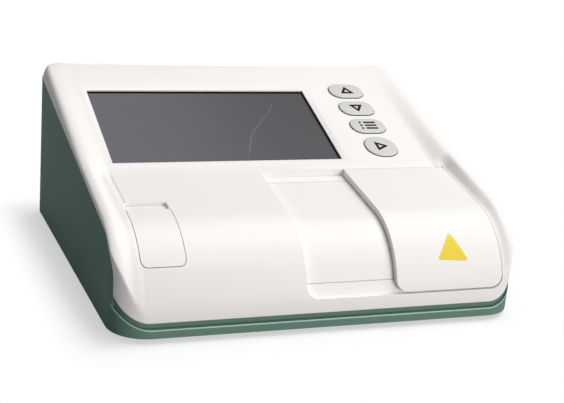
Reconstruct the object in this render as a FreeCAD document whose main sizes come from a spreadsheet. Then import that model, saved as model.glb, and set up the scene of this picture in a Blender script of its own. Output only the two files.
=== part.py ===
import FreeCAD, Part
import math
import os
import re

# Desktop dry chemistry analyzer: a wedge-shaped instrument with a sloping screen console, four keys,
# a sliding cover over the measuring bay and a small hinged flap over the code key socket.
# Frame: +Z up, front towards -Y, origin on the resting plane under the middle. Millimetres.

SIZES = {
    # Overall form
    "width": 256, "depth": 234, "foot_high": 3, "wall": 2.4, "floor_thick": 2.5,
    "corner_front": 20, "corner_back": 12,
    "seam_front": 12, "seam_bend": 26, "seam_round": 22,
    "band_high": 5.4, "band_proud": 2, "seam_high": 8.5, "seam_gap": 0.3, "seam_drop": 0.8,
    "groove_deep": 0.8,
    # Side profile of the top
    "shoulder_radius": 50.1, "shoulder_low": 10.7,
    "rim_tilt": 12.03, "deck_tilt": 8.6, "console_tilt": 18.06,
    "crease_back": 133, "crease_round": 6, "back_round": 11.5,
    "turn_share": 0.38, "lip_rise": 3.2, "lip_round": 4, "lip_drop": 2.4, "back_drop": 5,
    "flat_half": 109, "deck_half": 116.5,
    # Screen, measured along the console
    "screen_mid": -28, "screen_up": 53.3, "screen_wide": 153.7, "screen_tall": 84.3,
    "bevel_wide": 4, "bevel_deep": 1.4, "glass_thick": 1.8, "glass_lap": 2.2,
    "gasket_thick": 0.8, "panel_thick": 5, "frame_thick": 1.5, "frame_lap": 6,
    # Keys
    "key_mid": 80.8, "key_wide": 25.6, "key_tall": 17.3, "key_round": 8.2,
    "next_wide": 22.8, "next_tall": 22.6, "next_round": 10.6,
    "key_low": 47, "key_pitch": 22.3, "next_up": 21.9,
    "key_gap": 0.4, "key_proud": 1.1, "key_travel": 0.6, "key_flange": 1.2,
    "key_clear": 0.6, "key_slack": 0.15, "stem_gap": 0.1, "board_rim": 3,
    "switch_side": 6, "switch_high": 3.4, "key_drop": 5.5, "board_thick": 1.6,
    # Recess and sliding cover
    "recess_left": -14, "recess_shift": 3, "recess_low": 19.6, "recess_deep": 4.3,
    "recess_round": 8, "pan_thick": 2,
    "cover_left": 44, "cover_right": 115.5, "cover_gap": 0.4, "cover_wall": 1.8, "cover_float": 0.3, "cover_lap": 0.4,
    "cover_travel": 57, "slot_wide": 2.4, "slot_back": 9, "slot_up": 27, "tongue_thick": 1.6,
    "tongue_long": 11, "tongue_first": 58.5, "runner_long": 44, "runner_wide": 6, "runner_thick": 2,
    "line_wide": 0.5, "line_deep": 1.2, "ramp_top": 26.6, "ramp_deep": 2.6, "cover_rise": 1.1,
    # Measuring bay
    "bay_left": 63, "bay_wide": 44, "bay_back": 18, "bay_long": 33, "stage_gap": 0.3,
    "stage_sunk": 0.8, "stage_high": 7, "stage_flange": 3, "flange_thick": 2,
    "channel_wide": 9, "channel_long": 27, "channel_deep": 1.6, "channel_pitch": 20,
    "eye_radius": 3, "eye_glass": 1.2, "heater_thick": 4, "optics_high": 14, "optics_inset": 4,
    # Flap and code key
    "flap_left": -111, "flap_wide": 26, "flap_shift": 0.6, "flap_low": 41, "flap_thick": 2,
    "flap_round": 3.6, "flap_gap": 0.45, "flap_ledge": 1.4, "scoop_long": 9, "scoop_deep": 2.2,
    "pin_radius": 0.75, "pin_clear": 0.05, "pin_deep": 1.7, "pin_up": 5, "well_deep": 15,
    "swing_lip": 0.8,
    "socket_wide": 16, "socket_long": 14, "socket_high": 6, "socket_back": 4, "code_wide": 11, "code_thick": 3,
    "code_long": 7.5,
    # Base, posts and feet
    "post_side_in": 11, "post_back_in": 19, "post_front_in": 31, "post_radius": 4.5, "boss_radius": 4, "ear_radius": 3,
    "post_high": 30, "screw_radius": 1.5, "screw_head": 2.8, "screw_clear": 0.25, "head_high": 2.2,
    "head_sunk": 6, "screw_bite": 9,
    "foot_radius": 8, "foot_stud": 2.5, "foot_side_in": 24, "foot_back_in": 21, "foot_front_in": 25,
    "board_gap": 3, "board_wide": 170, "board_long": 96, "board_up": 6, "board_post": 4,
    # Rear
    "inlet_mid": -56, "inlet_up": 34, "inlet_wide": 28, "inlet_high": 20.5, "inlet_long": 20,
    "inlet_wall": 2, "blade_wide": 2, "blade_high": 4, "blade_long": 12, "blade_side": 7,
    "ports_mid": -15, "port_wide": 13.2, "port_high": 5.7, "port_long": 14, "port_pitch": 19,
    "serial_mid": 40, "serial_wide": 31, "serial_high": 12.5,
    "rocker_mid": -98, "rocker_up": 34, "rocker_wide": 19, "flange_rim": 1.5, "flange_sunk": 1.2,
    "serial_long": 13, "serial_mouth": 5.6, "rocker_high": 13,
    "vent_mid": 90, "vent_wide": 2.2, "vent_high": 26, "vent_pitch": 5.5, "vent_count": 7,
}

doc = FreeCAD.newDocument("dry_chemistry_analyzer")
sheet = doc.addObject("Spreadsheet::Sheet", "Sizes")
for row, (alias, value) in enumerate(SIZES.items(), 1):
    sheet.set(f"A{row}", alias)
    sheet.set(f"B{row}", str(value))
    sheet.setAlias(f"B{row}", alias)
doc.recompute()


class Sizes:
    """Values of the sheet's cells by alias."""

    def __getattr__(self, alias):
        return float(sheet.get(alias))


z = Sizes()
Vector = FreeCAD.Vector
Rotation = FreeCAD.Rotation
Placement = FreeCAD.Placement
X_AXIS, Y_AXIS, Z_AXIS = Vector(1, 0, 0), Vector(0, 1, 0), Vector(0, 0, 1)
BEYOND = 300.0
nodes = []


# Helpers for the document's objects

def formula(text):
    """Expression on the sheet's cells, such as 'wall * 2', with the aliases written bare."""
    return re.sub(r"[a-z]+(?:_[a-z]+)*", lambda word: "Sizes." + word.group(), text)


def bind(thing, prop, value):
    """Bind a property to the sheet if the value is text, or set it."""
    if isinstance(value, str):
        thing.setExpression(prop, formula(value))
    else:
        setattr(thing, prop, value)


def add(kind, name, **links):
    thing = doc.addObject(kind, name)
    for prop, value in links.items():
        setattr(thing, prop, value)
    return thing


def box(name, corner, size, frame=Placement()):
    """Box from its low corner, in a frame; sizes may be formulas."""
    thing = add("Part::Box", name)
    for prop, value in zip(("Length", "Width", "Height"), size):
        bind(thing, prop, value)
    thing.Placement = frame * Placement(Vector(*corner), Rotation())
    return thing


def cylinder(name, base, radius, height, axis=Z_AXIS, frame=Placement()):
    thing = add("Part::Cylinder", name)
    bind(thing, "Radius", radius)
    bind(thing, "Height", height)
    thing.Placement = frame * Placement(Vector(*base), Rotation(Z_AXIS, axis))
    return thing


def cut(name, base, *tools):
    tool = tools[0] if len(tools) == 1 else fuse(name + "_tools", *tools)
    return add("Part::Cut", name, Base=base, Tool=tool)


def fuse(name, *parts):
    return add("Part::MultiFuse", name, Shapes=list(parts))


def common(name, *parts):
    return add("Part::MultiCommon", name, Shapes=list(parts))


def sketch(name, curves, placement):
    thing = add("Sketcher::SketchObject", name)
    thing.addGeometry(curves, False)
    thing.Placement = placement
    return thing


def extrude(name, base, direction, length):
    thing = add("Part::Extrusion", name, Base=base, DirMode="Custom", Dir=direction, Solid=True)
    bind(thing, "LengthFwd", length)
    return thing


def node(label, thing):
    """Make an object one of the part's pieces."""
    thing.Label = label
    nodes.append(thing)
    return thing


# Helpers for bodies

def make_body(label, frame=Placement()):
    body = doc.addObject("PartDesign::Body", label + "_body")
    body.Placement = frame
    return body


def body_sketch(body, name, role, curves, lift=0.0):
    plane = next(item for item in body.Origin.OriginFeatures if item.Role == role)
    drawing = body.newObject("Sketcher::SketchObject", name)
    drawing.AttachmentSupport = [(plane, "")]
    drawing.MapMode = "FlatFace"
    drawing.AttachmentOffset = Placement(Vector(0, 0, lift), Rotation())
    drawing.addGeometry(curves, False)
    return drawing


def feature(body, kind, name, profile, **values):
    item = body.newObject("PartDesign::" + kind, name)
    item.Profile = profile
    for prop, value in values.items():
        bind(item, prop, value)
    body.Tip = item
    doc.recompute()
    return item


# Outlines

def line(a, b):
    return Part.LineSegment(Vector(a[0], a[1], 0), Vector(b[0], b[1], 0))


def arc(a, middle, b):
    return Part.Arc(*[Vector(p[0], p[1], 0) for p in (a, middle, b)])


def polygon(points):
    return [line(a, b) for a, b in zip(points, points[1:] + points[:1])]


def ring(x, y, radius):
    return [Part.Circle(Vector(x, y, 0), Z_AXIS, radius)]


def rounded(low_x, low_y, high_x, high_y, radii):
    """Rounded rectangle; radii run from the low corner anticlockwise, and 0 leaves a corner sharp."""
    corners = [(low_x, low_y, 180), (high_x, low_y, 270), (high_x, high_y, 0), (low_x, high_y, 90)]
    curves = []
    starts = []
    ends = []
    for (x, y, angle), radius in zip(corners, radii):
        towards_x = 1 if x == low_x else -1
        towards_y = 1 if y == low_y else -1
        centre = (x + towards_x * radius, y + towards_y * radius)
        points = []
        for turn in (0, 45, 90):
            at = math.radians(angle + turn)
            points.append((centre[0] + radius * math.cos(at), centre[1] + radius * math.sin(at)))
        starts.append(points[0])
        ends.append(points[2])
        if radius:
            curves.append(arc(*points))
    for end, start in zip(ends, starts[1:] + starts[:1]):
        curves.append(line(end, start))
    return curves


# Planes for sketches: the side view (Y across, Z up), the front view (X across, Z up), the plan
SIDE = Rotation(Vector(1, 1, 1), 120)
FRONT = Rotation(X_AXIS, 90)


# The side profile

HALF = z.width / 2
BACK = z.depth / 2
FRONT_FACE = -z.depth / 2
SHELL_FRONT = FRONT_FACE + z.band_proud
SEAM_Z = z.foot_high + z.seam_high
ARC_Y = SHELL_FRONT + z.shoulder_radius
ARC_Z = z.shoulder_low


def slope(tilt):
    return math.tan(math.radians(tilt))


def lean(tilt):
    return math.cos(math.radians(tilt))


def tangent_line(y, tilt, radius=None):
    """Height at y of the line of a given tilt that touches the shoulder's arc."""
    radius = z.shoulder_radius if radius is None else radius
    return ARC_Z + radius / lean(tilt) + (y - ARC_Y) * slope(tilt)


def rim(y):
    return tangent_line(y, z.rim_tilt)


def deck(y):
    return tangent_line(y, z.deck_tilt)


CREASE_Y = BACK - z.crease_back
CREASE_Z = deck(CREASE_Y)
RECESS_BACK = CREASE_Y - z.recess_shift
FLAP_BACK = ARC_Y - z.flap_shift


def console(y):
    return CREASE_Z + (y - CREASE_Y) * slope(z.console_tilt)


def shoulder(y, radius):
    return ARC_Z + math.sqrt(max(radius ** 2 - (y - ARC_Y) ** 2, 0))


def smooth(value):
    value = min(max(value, 0), 1)
    return value * value * (3 - 2 * value)


def corner_edge(x, straight, radius, inset):
    """How far a rounded plan corner draws the edge in at x."""
    inside = HALF - radius
    if x <= inside:
        return straight + inset
    return straight + radius - math.sqrt(max((radius - inset) ** 2 - (x - inside) ** 2, 0))


def station(x, inset=0.0):
    """Closed side section of the top at x: flat deck and console in the middle, raised lips outside."""
    lip_start = HALF - z.lip_round - 1
    on_deck = smooth((x - z.deck_half) / (lip_start - z.deck_half))
    on_console = smooth((x - z.flat_half) / (lip_start - z.flat_half))
    edge = max(z.lip_round - (HALF - x), 0) / z.lip_round
    fall = 0 if inset else 1 - math.sqrt(max(1 - edge ** 2, 0))
    drop = z.lip_drop * fall
    front_y = corner_edge(x, SHELL_FRONT, z.corner_front, inset)
    back_y = -corner_edge(x, -BACK, z.corner_back, inset)
    radius = z.shoulder_radius - inset
    low = SEAM_Z if not inset else 0.0

    def arc_top(y):
        return shoulder(y, radius) + on_deck * z.lip_rise * 0.8 - drop

    def deck_top(y):
        level = tangent_line(y, z.deck_tilt, radius)
        return level + on_deck * (rim(y) - inset + z.lip_rise - level) - drop

    def console_top(y):
        level = console(y) - inset / lean(z.console_tilt)
        lip = max(rim(y) - inset + z.lip_rise, level - z.back_drop * 0.1)
        return level + on_console * (lip - level)

    step = 1.5
    corner_low = (front_y, max(arc_top(front_y) - step - 0.5, SEAM_Z + 0.5))
    corner_high = (front_y + step, arc_top(front_y + step))
    middle_z = (corner_low[1] + corner_high[1]) / 2
    middle_y = (corner_low[0] + corner_high[0]) / 2
    corner_mid = ((middle_y + front_y) / 2, (middle_z + max(arc_top(front_y), middle_z)) / 2)
    touch_y = ARC_Y - radius * math.sin(math.radians(z.deck_tilt))
    touch = (touch_y, deck_top(touch_y))
    turn_y = corner_high[0] + (touch_y - corner_high[0]) * z.turn_share
    turn = (turn_y, arc_top(turn_y) + on_deck * z.lip_rise * 0.1)
    crease_low = (CREASE_Y - z.crease_round, deck_top(CREASE_Y - z.crease_round))
    crease_high = (CREASE_Y + z.crease_round, console_top(CREASE_Y + z.crease_round) - drop)
    apex = (back_y, console_top(back_y) - z.back_drop * fall)
    run = math.atan2(apex[1] - crease_high[1], apex[0] - crease_high[0])
    bend = z.back_round - inset
    reach = bend * math.tan((math.pi / 2 + run) / 2)
    round_start = (apex[0] - reach * math.cos(run), apex[1] - reach * math.sin(run))
    round_end = (apex[0], apex[1] - reach)
    centre = (apex[0] - bend, round_end[1])
    half_turn = (math.pi / 2 + run) / 2
    round_mid = (centre[0] + bend * math.cos(half_turn), centre[1] + bend * math.sin(half_turn))

    crease = Part.BezierCurve()
    crease_control = (CREASE_Y, (deck_top(CREASE_Y) + console_top(CREASE_Y) - drop) / 2)
    crease.setPoles([Vector(p[0], p[1], 0) for p in (crease_low, crease_control, crease_high)])
    return [
        line((back_y, low), (front_y, low)),
        line((front_y, low), corner_low),
        arc(corner_low, corner_mid, corner_high),
        arc(corner_high, turn, touch),
        line(touch, crease_low),
        crease.toBSpline(),
        line(crease_high, round_start),
        arc(round_start, round_mid, round_end),
        line(round_end, (back_y, low)),
    ]


def lofted(name, inset):
    """Solid form of the top: a straight middle and a loft to each side."""
    inner_half = HALF - inset
    shares = [step / 38 for step in (0, 6, 11, 15, 20, 25, 28, 31)]
    places = [z.flat_half + share * (HALF - z.flat_half) for share in shares]
    places = [x for x in places if x < inner_half - 1]
    ends = [0] if inset else [1.2, 0.4, 0]
    places += [inner_half - end for end in ends]
    sections = []
    for index, x in enumerate(places):
        drawing = sketch(f"{name}_section_{index}", station(x, inset), Placement(Vector(x, 0, 0), SIDE))
        sections.append(drawing)
    right = add("Part::Loft", name + "_right", Sections=sections, Solid=True, Ruled=False)
    left = add("Part::Mirroring", name + "_left", Source=right, Base=Vector(), Normal=X_AXIS)
    start = sketch(name + "_profile", station(z.flat_half, inset), Placement(Vector(-z.flat_half, 0, 0), SIDE))
    middle = extrude(name + "_middle", start, X_AXIS, "flat_half * 2")
    return fuse(name, middle, right, left)


# Offsets of the deck and shoulder, for the recess, the cover and the flap

def slab(name, outer, inner, back, low_x, high_x):
    """Layer that follows deck and shoulder, between two depths, from a back edge down to the front."""
    curves = []
    ends = []
    for depth in (outer, inner):
        radius = z.shoulder_radius - depth
        tilt = math.radians(z.deck_tilt)
        touch = (ARC_Y - radius * math.sin(tilt), ARC_Z + radius * math.cos(tilt))
        start = (back, tangent_line(back, z.deck_tilt, radius))
        mid_angle = math.radians(90 + z.deck_tilt + (90 - z.deck_tilt) / 2)
        middle = (ARC_Y + radius * math.cos(mid_angle), ARC_Z + radius * math.sin(mid_angle))
        end = (ARC_Y - radius, ARC_Z)
        curves += [line(start, touch), arc(touch, middle, end)]
        ends.append((start, end))
    curves += [line(ends[0][0], ends[1][0]), line(ends[0][1], ends[1][1])]
    drawing = sketch(name + "_profile", curves, Placement(Vector(low_x, 0, 0), SIDE))
    return extrude(name, drawing, X_AXIS, high_x - low_x)


def front_window(name, low_x, high_x, low_z, radius, grow=0.0):
    """Tall prism through the front view, rounded at its two lower corners."""
    top = BEYOND / 2
    curves = rounded(low_x - grow, low_z - grow, high_x + grow, top, (radius + grow, radius + grow, 0, 0))
    drawing = sketch(name + "_outline", curves, Placement(Vector(0, BACK, 0), FRONT))
    return extrude(name, drawing, Vector(0, -1, 0), BEYOND)


def plan_prism(name, inset, low, high, front=None, corner=None):
    """Upright prism of the plan outline."""
    front = SHELL_FRONT if front is None else front
    corner = z.corner_front if corner is None else corner
    radii = (corner - inset, corner - inset, z.corner_back - inset, z.corner_back - inset)
    curves = rounded(-HALF + inset, front + inset, HALF - inset, BACK - inset, radii)
    drawing = sketch(name + "_outline", curves, Placement(Vector(0, 0, low), Rotation()))
    return extrude(name, drawing, Z_AXIS, high - low)


def below_seam(name, gap):
    """Everything below the parting line of the side walls: it follows the rim and bends down near the front."""
    centre_y = SHELL_FRONT + z.seam_front + z.seam_bend
    centre_z = rim(centre_y) - z.seam_drop - z.seam_bend / lean(z.rim_tilt)
    radius = z.seam_bend + gap
    tilt = math.radians(z.rim_tilt)
    touch = (centre_y - radius * math.sin(tilt), centre_z + radius * math.cos(tilt))
    mid_angle = (math.pi / 2 + tilt + math.pi) / 2
    middle = (centre_y + radius * math.cos(mid_angle), centre_z + radius * math.sin(mid_angle))
    back_y = BACK + z.wall
    back_z = touch[1] + (back_y - touch[0]) * slope(z.rim_tilt)
    end = (centre_y - radius, centre_z)
    curves = [
        line((back_y, 0), (back_y, back_z)),
        line((back_y, back_z), touch),
        arc(touch, middle, end),
        line(end, (end[0], 0)),
        line((end[0], 0), (back_y, 0)),
    ]
    drawing = sketch(name + "_profile", curves, Placement(Vector(-BEYOND / 2, 0, 0), SIDE))
    return extrude(name, drawing, X_AXIS, BEYOND)


def seam_corners(name, radius):
    """The two lower front corners outside the rounding that the white front has in the front view."""
    low_y = FRONT_FACE - 1
    deep = SHELL_FRONT + z.seam_front + z.wall - low_y
    centre_z = SEAM_Z + z.seam_round
    corners = []
    for side in (-1, 1):
        centre_x = side * (HALF - z.seam_round)
        low_x = centre_x if side > 0 else -HALF - 1
        block = box(f"{name}_block_{side + 1}", (low_x, low_y, 0), ("seam_round + 1", deep, centre_z))
        round_off = cylinder(f"{name}_round_{side + 1}", (centre_x, low_y - 1, centre_z), radius, deep + 2, Y_AXIS)
        corners.append(cut(f"{name}_{side + 1}", block, round_off))
    return corners


CONSOLE = Placement(Vector(0, CREASE_Y, CREASE_Z), Rotation(X_AXIS, z.console_tilt))
DECK = Placement(Vector(0, CREASE_Y, CREASE_Z), Rotation(X_AXIS, z.deck_tilt))


# Key places: x, distance up the console, width, height, corner radius
KEYS = [
    ("key_next", z.key_mid, z.next_up, "next"),
    ("key_list", z.key_mid, z.key_low, "key"),
    ("key_down", z.key_mid, z.key_low + z.key_pitch, "key"),
    ("key_up", z.key_mid, z.key_low + 2 * z.key_pitch, "key"),
]


def key_outline(x, up, kind, grow=0.0):
    wide = getattr(z, kind + "_wide") / 2 + grow
    tall = getattr(z, kind + "_tall") / 2 + grow
    radius = getattr(z, kind + "_round") + grow
    return rounded(x - wide, up - tall, x + wide, up + tall, [radius] * 4)


def tilted_prism(name, curves, frame, low, high):
    """Prism on a tilted frame, between two depths along its normal."""
    drawing = sketch(name + "_outline", curves, frame * Placement(Vector(0, 0, low), Rotation()))
    normal = frame.Rotation.multVec(Z_AXIS)
    return extrude(name, drawing, normal, high - low)


def screen_outline(grow):
    wide = z.screen_wide / 2 + grow
    tall = z.screen_tall / 2 + grow
    return rounded(z.screen_mid - wide, z.screen_up - tall, z.screen_mid + wide, z.screen_up + tall, [0] * 4)


def bevel_prism():
    """Screen window's bevel: a loft from the wide outline at the surface to the window."""
    levels = ((z.bevel_wide + 0.5 * z.bevel_wide / z.bevel_deep, 0.5), (0, -z.bevel_deep))
    sections = []
    for grow, level in levels:
        frame = CONSOLE * Placement(Vector(0, 0, level), Rotation())
        sections.append(sketch(f"bevel_{len(sections)}", screen_outline(grow), frame))
    return add("Part::Loft", "bevel", Sections=sections, Solid=True, Ruled=True)


# Top shell

POSTS = [(side * (HALF - z.post_side_in), y)
         for y in (SHELL_FRONT + z.post_front_in, BACK - z.post_back_in) for side in (-1, 1)]
PAN_DEEP = z.recess_deep + z.pan_thick
FLAP_RIGHT = z.flap_left + z.flap_wide
WELL_BACK = FLAP_BACK - z.flap_ledge
PIN_ANGLE = math.asin((z.flap_low + z.pin_up - ARC_Z) / (z.shoulder_radius - z.pin_deep))
PIN_Y = ARC_Y - (z.shoulder_radius - z.pin_deep) * math.cos(PIN_ANGLE)
PIN_Z = ARC_Z + (z.shoulder_radius - z.pin_deep) * math.sin(PIN_ANGLE)
FLAP_EDGE = ARC_Y - math.sqrt(z.shoulder_radius ** 2 - (z.flap_low - ARC_Z) ** 2)
FLAP_SWING = math.hypot(FLAP_EDGE - PIN_Y, z.flap_low - PIN_Z)
SLOT_LOW = z.cover_left + z.tongue_first - z.cover_travel - 1
SLOT_HIGH = z.cover_left + z.tongue_first + z.tongue_long + 1
SLOT_ANGLE = math.asin((z.slot_up - ARC_Z) / (z.shoulder_radius - z.recess_deep))
NOSE = Placement(
    Vector(0, ARC_Y - (z.shoulder_radius - z.recess_deep) * math.cos(SLOT_ANGLE), z.slot_up),
    Rotation(X_AXIS, 90 - math.degrees(SLOT_ANGLE)))


def slot_cuts():
    """Guide slots through the recess floor, one behind and one low on the nose, that the cover hides at rest, and
    the shallow lines that lead to them from the recess's left edge."""
    back_y = (RECESS_BACK - CREASE_Y) / lean(z.deck_tilt) - z.slot_back
    length = SLOT_HIGH - SLOT_LOW
    lead = SLOT_LOW - z.recess_left
    return [
        box("slot_back_cut", (SLOT_LOW, back_y - z.slot_wide / 2, -PAN_DEEP - 1),
            (length, "slot_wide", "pan_thick + 2"), DECK),
        box("slot_nose_cut", (SLOT_LOW, -z.slot_wide / 2, -z.pan_thick - 1), (length, "slot_wide", "pan_thick + 2"),
            NOSE),
        box("line_back_cut", (z.recess_left + 1, back_y - z.line_wide / 2, -z.recess_deep - z.line_deep),
            (lead, "line_wide", "line_deep + 1"), DECK),
        box("line_nose_cut", (z.recess_left, -z.line_wide / 2, -z.line_deep), (lead, "line_wide", "line_deep + 1"),
            NOSE),
    ]


def ramp(name, lift):
    """The low edge of the recess floor: it rises from the floor at the nose slot towards the housing's face."""
    top_z = z.ramp_top + lift
    low_z = z.recess_low - 1

    def face(height, depth):
        return ARC_Y - math.sqrt((z.shoulder_radius - depth) ** 2 - (height - ARC_Z) ** 2)

    corners = [(face(top_z, z.recess_deep - lift), top_z), (face(low_z, z.ramp_deep - lift), low_z),
               (ARC_Y, low_z), (ARC_Y, top_z)]
    drawing = sketch(name + "_profile", polygon(corners), Placement(Vector(-BEYOND / 2, 0, 0), SIDE))
    return extrude(name, drawing, X_AXIS, BEYOND)


def recess_volume(name, outer, inner, grow):
    layer = slab(name + "_layer", outer, inner, RECESS_BACK + grow, -BEYOND / 2, BEYOND / 2)
    window = front_window(name + "_window", z.recess_left, z.cover_right + z.cover_gap, z.recess_low,
                          z.recess_round, grow)
    return common(name, layer, window)


def make_top_shell():
    form = lofted("top_form", 0.0)
    hollow = lofted("top_hollow", z.wall)
    skin = cut("top_skin", form, hollow)
    seam_zone = cut("seam_zone", plan_prism("seam_zone_outer", -1.0, 0, 130),
                    plan_prism("seam_zone_inner", z.wall + 1, -1, 131))
    seam = common("seam_cut", seam_zone, below_seam("seam_above", z.seam_gap))
    cap = cut("top_cap", skin, seam)
    for index, corner in enumerate(seam_corners("top_corner", z.seam_round)):
        cap = cut(f"top_cap_{index}", cap, common(f"top_corner_ring_{index}", corner, seam_zone))
    pan = cut("pan_trim", common("pan", recess_volume("pan_volume", 0.5, PAN_DEEP, z.pan_thick), form), seam)
    well_layer = slab("well_layer", 0.6, z.well_deep, FLAP_BACK + z.wall, z.flap_left - z.wall,
                      FLAP_RIGHT + z.wall)
    well_zone = box("well_zone", (z.flap_left - z.wall, FRONT_FACE, z.flap_low - 5),
                    ("flap_wide + wall * 2", BEYOND, BEYOND))
    well = common("well_block", well_layer, well_zone, form)
    scoop_pan = common("scoop_pan", tilted_prism("scoop_block", scoop_outline(z.wall), DECK, -5.2, -0.5), form)
    bosses = []
    for index, (x, y) in enumerate(POSTS):
        column = cylinder(f"boss_{index}", (x, y, z.post_high), "boss_radius", BEYOND / 2)
        bosses.append(common(f"boss_{index}_trim", column, form))
    ears = []
    for index, (x, up) in enumerate(frame_bosses()):
        ears.append(cylinder(f"frame_boss_{index}", (x, up, FRAME_TOP), "ear_radius",
                             -FRAME_TOP - z.wall / 2, Z_AXIS, CONSOLE))
    for index, (x, up) in enumerate(board_bosses()):
        ears.append(cylinder(f"board_boss_{index}", (x, up, BOARD_TOP), "ear_radius",
                             -BOARD_TOP - z.wall / 2, Z_AXIS, CONSOLE))
    body = fuse("top_body", cap, pan, well, scoop_pan, *bosses, *ears)
    cuts = [cut("recess_open", recess_volume("recess", -3, z.recess_deep, 0.0), ramp("recess_ramp", 0.0))]
    cuts += slot_cuts()
    cuts.append(box("bay_cut", (z.bay_left, BAY_LOW, -PAN_DEEP - 2),
                    ("bay_wide", "bay_long", PAN_DEEP + 3), DECK))
    cuts.append(tilted_prism("window_cut", screen_outline(0), CONSOLE, -z.wall - 1, 1))
    cuts.append(bevel_prism())
    for name, x, up, kind in KEYS:
        cuts.append(tilted_prism(name + "_hole", key_outline(x, up, kind, z.key_gap), CONSOLE, -8, 2))
    cuts += flap_cuts()
    for index, (x, y) in enumerate(POSTS):
        cuts.append(cylinder(f"bite_{index}", (x, y, z.post_high - 1), "screw_radius", "screw_bite + 2"))
    for index, (x, up) in enumerate(frame_bosses()):
        cuts.append(cylinder(f"frame_bite_{index}", (x, up, FRAME_TOP - 1), 1.0, 6, Z_AXIS, CONSOLE))
    for index, (x, up) in enumerate(board_bosses()):
        cuts.append(cylinder(f"board_bite_{index}", (x, up, BOARD_TOP - 1), 1.0, 4, Z_AXIS, CONSOLE))
    node("top_shell", cut("top_shell_solid", body, *cuts))


def scoop_outline(grow=0.0):
    """Finger scoop above the flap, in the deck's frame."""
    high = (FLAP_BACK - CREASE_Y) / lean(z.deck_tilt) + z.scoop_long
    low = high - z.scoop_long - 0.5
    return rounded(z.flap_left - grow, low - grow, FLAP_RIGHT + grow, high + grow, (0, 0, 2, 2))


def flap_cuts():
    seat = common("flap_seat", slab("flap_seat_layer", -3, z.flap_thick + z.flap_gap, FLAP_BACK + z.flap_gap,
                                    -BEYOND / 2, BEYOND / 2),
                  front_window("flap_seat_window", z.flap_left, FLAP_RIGHT, z.flap_low, z.flap_round, z.flap_gap))
    inner = common("well_cut", slab("well_inner", z.flap_thick, z.well_deep - z.wall, WELL_BACK, -BEYOND / 2, BEYOND / 2),
                   front_window("well_window", z.flap_left + z.flap_ledge, FLAP_RIGHT - z.flap_ledge,
                                z.flap_low - 1.2, 0.5))
    scoop = tilted_prism("scoop_cut", scoop_outline(), DECK, -z.scoop_deep, 3)
    bore = cylinder("pin_bore", (z.flap_left - z.wall * 0.6, PIN_Y, PIN_Z), "pin_radius",
                    "flap_wide + wall * 1.2", X_AXIS)
    sweep = cylinder("flap_sweep", (z.flap_left - z.flap_gap, PIN_Y, PIN_Z), FLAP_SWING + z.flap_gap,
                     "flap_wide + flap_gap * 2", X_AXIS)
    swing = common("flap_swing", sweep, slab("flap_swing_layer", z.swing_lip, z.well_deep, FLAP_BACK,
                                             -BEYOND / 2, BEYOND / 2))
    return [seat, inner, scoop, bore, swing]


# Screen stack, hung from the console

GLASS_TOP = -z.wall - z.gasket_thick
PANEL_TOP = GLASS_TOP - z.glass_thick
FRAME_TOP = PANEL_TOP - z.panel_thick
BAY_LOW = (RECESS_BACK - CREASE_Y) / lean(z.deck_tilt) - z.bay_back - z.bay_long
BOARD_TOP = -z.wall - z.key_flange - z.key_drop
STEM_LOW = BOARD_TOP + z.switch_high + z.key_travel + z.stem_gap


def frame_bosses():
    reach = z.screen_tall / 2 + z.glass_lap + z.frame_lap
    return [(z.screen_mid + side * 62, z.screen_up + up * reach) for up in (-1, 1) for side in (-1, 1)]


def board_bosses():
    side = z.key_wide / 2 + z.key_flange + z.key_clear + z.ear_radius
    low = KEYS[0][2]
    high = KEYS[3][2]
    return [(z.key_mid + side, up) for up in (low, high)] + [(z.key_mid - side, (low + high) / 2)]


def make_screen():
    glass = tilted_prism("glass", screen_outline(z.glass_lap), CONSOLE, PANEL_TOP, GLASS_TOP)
    node("display_glass", glass)
    outer = tilted_prism("gasket_outer", screen_outline(z.glass_lap), CONSOLE, GLASS_TOP, -z.wall)
    inner = tilted_prism("gasket_inner", screen_outline(0.6), CONSOLE, GLASS_TOP - 1, 0)
    node("display_gasket", cut("gasket", outer, inner))
    node("display_panel", tilted_prism("panel", screen_outline(z.glass_lap), CONSOLE, FRAME_TOP, PANEL_TOP))
    plate = tilted_prism("frame_plate", screen_outline(z.glass_lap + 1), CONSOLE, FRAME_TOP - z.frame_thick,
                         FRAME_TOP)
    hole = tilted_prism("frame_hole", screen_outline(-12), CONSOLE, FRAME_TOP - 5, FRAME_TOP + 1)
    ears = []
    holes = [hole]
    for index, (x, up) in enumerate(frame_bosses()):
        ears.append(box(f"frame_ear_{index}", (x - 7, up - 6, FRAME_TOP - z.frame_thick),
                        (14, 12, "frame_thick"), CONSOLE))
        holes.append(cylinder(f"frame_hole_{index}", (x, up, FRAME_TOP - 5), 1.3, 10, Z_AXIS, CONSOLE))
    node("display_frame", cut("frame", fuse("frame_body", plate, *ears), *holes))
    screws = []
    for index, (x, up) in enumerate(frame_bosses()):
        head = cylinder(f"frame_screw_head_{index}", (x, up, FRAME_TOP - z.frame_thick - 1.6), 2.2, 1.6,
                        Z_AXIS, CONSOLE)
        shank = cylinder(f"frame_screw_{index}", (x, up, FRAME_TOP - z.frame_thick), 1.0, 5, Z_AXIS, CONSOLE)
        screws.append(fuse(f"frame_screw_whole_{index}", head, shank))
    node("display_screws", add("Part::Compound", "frame_screws", Links=screws))


# Keys: crowned caps with a flange under the console and a stem on a tact switch

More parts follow.
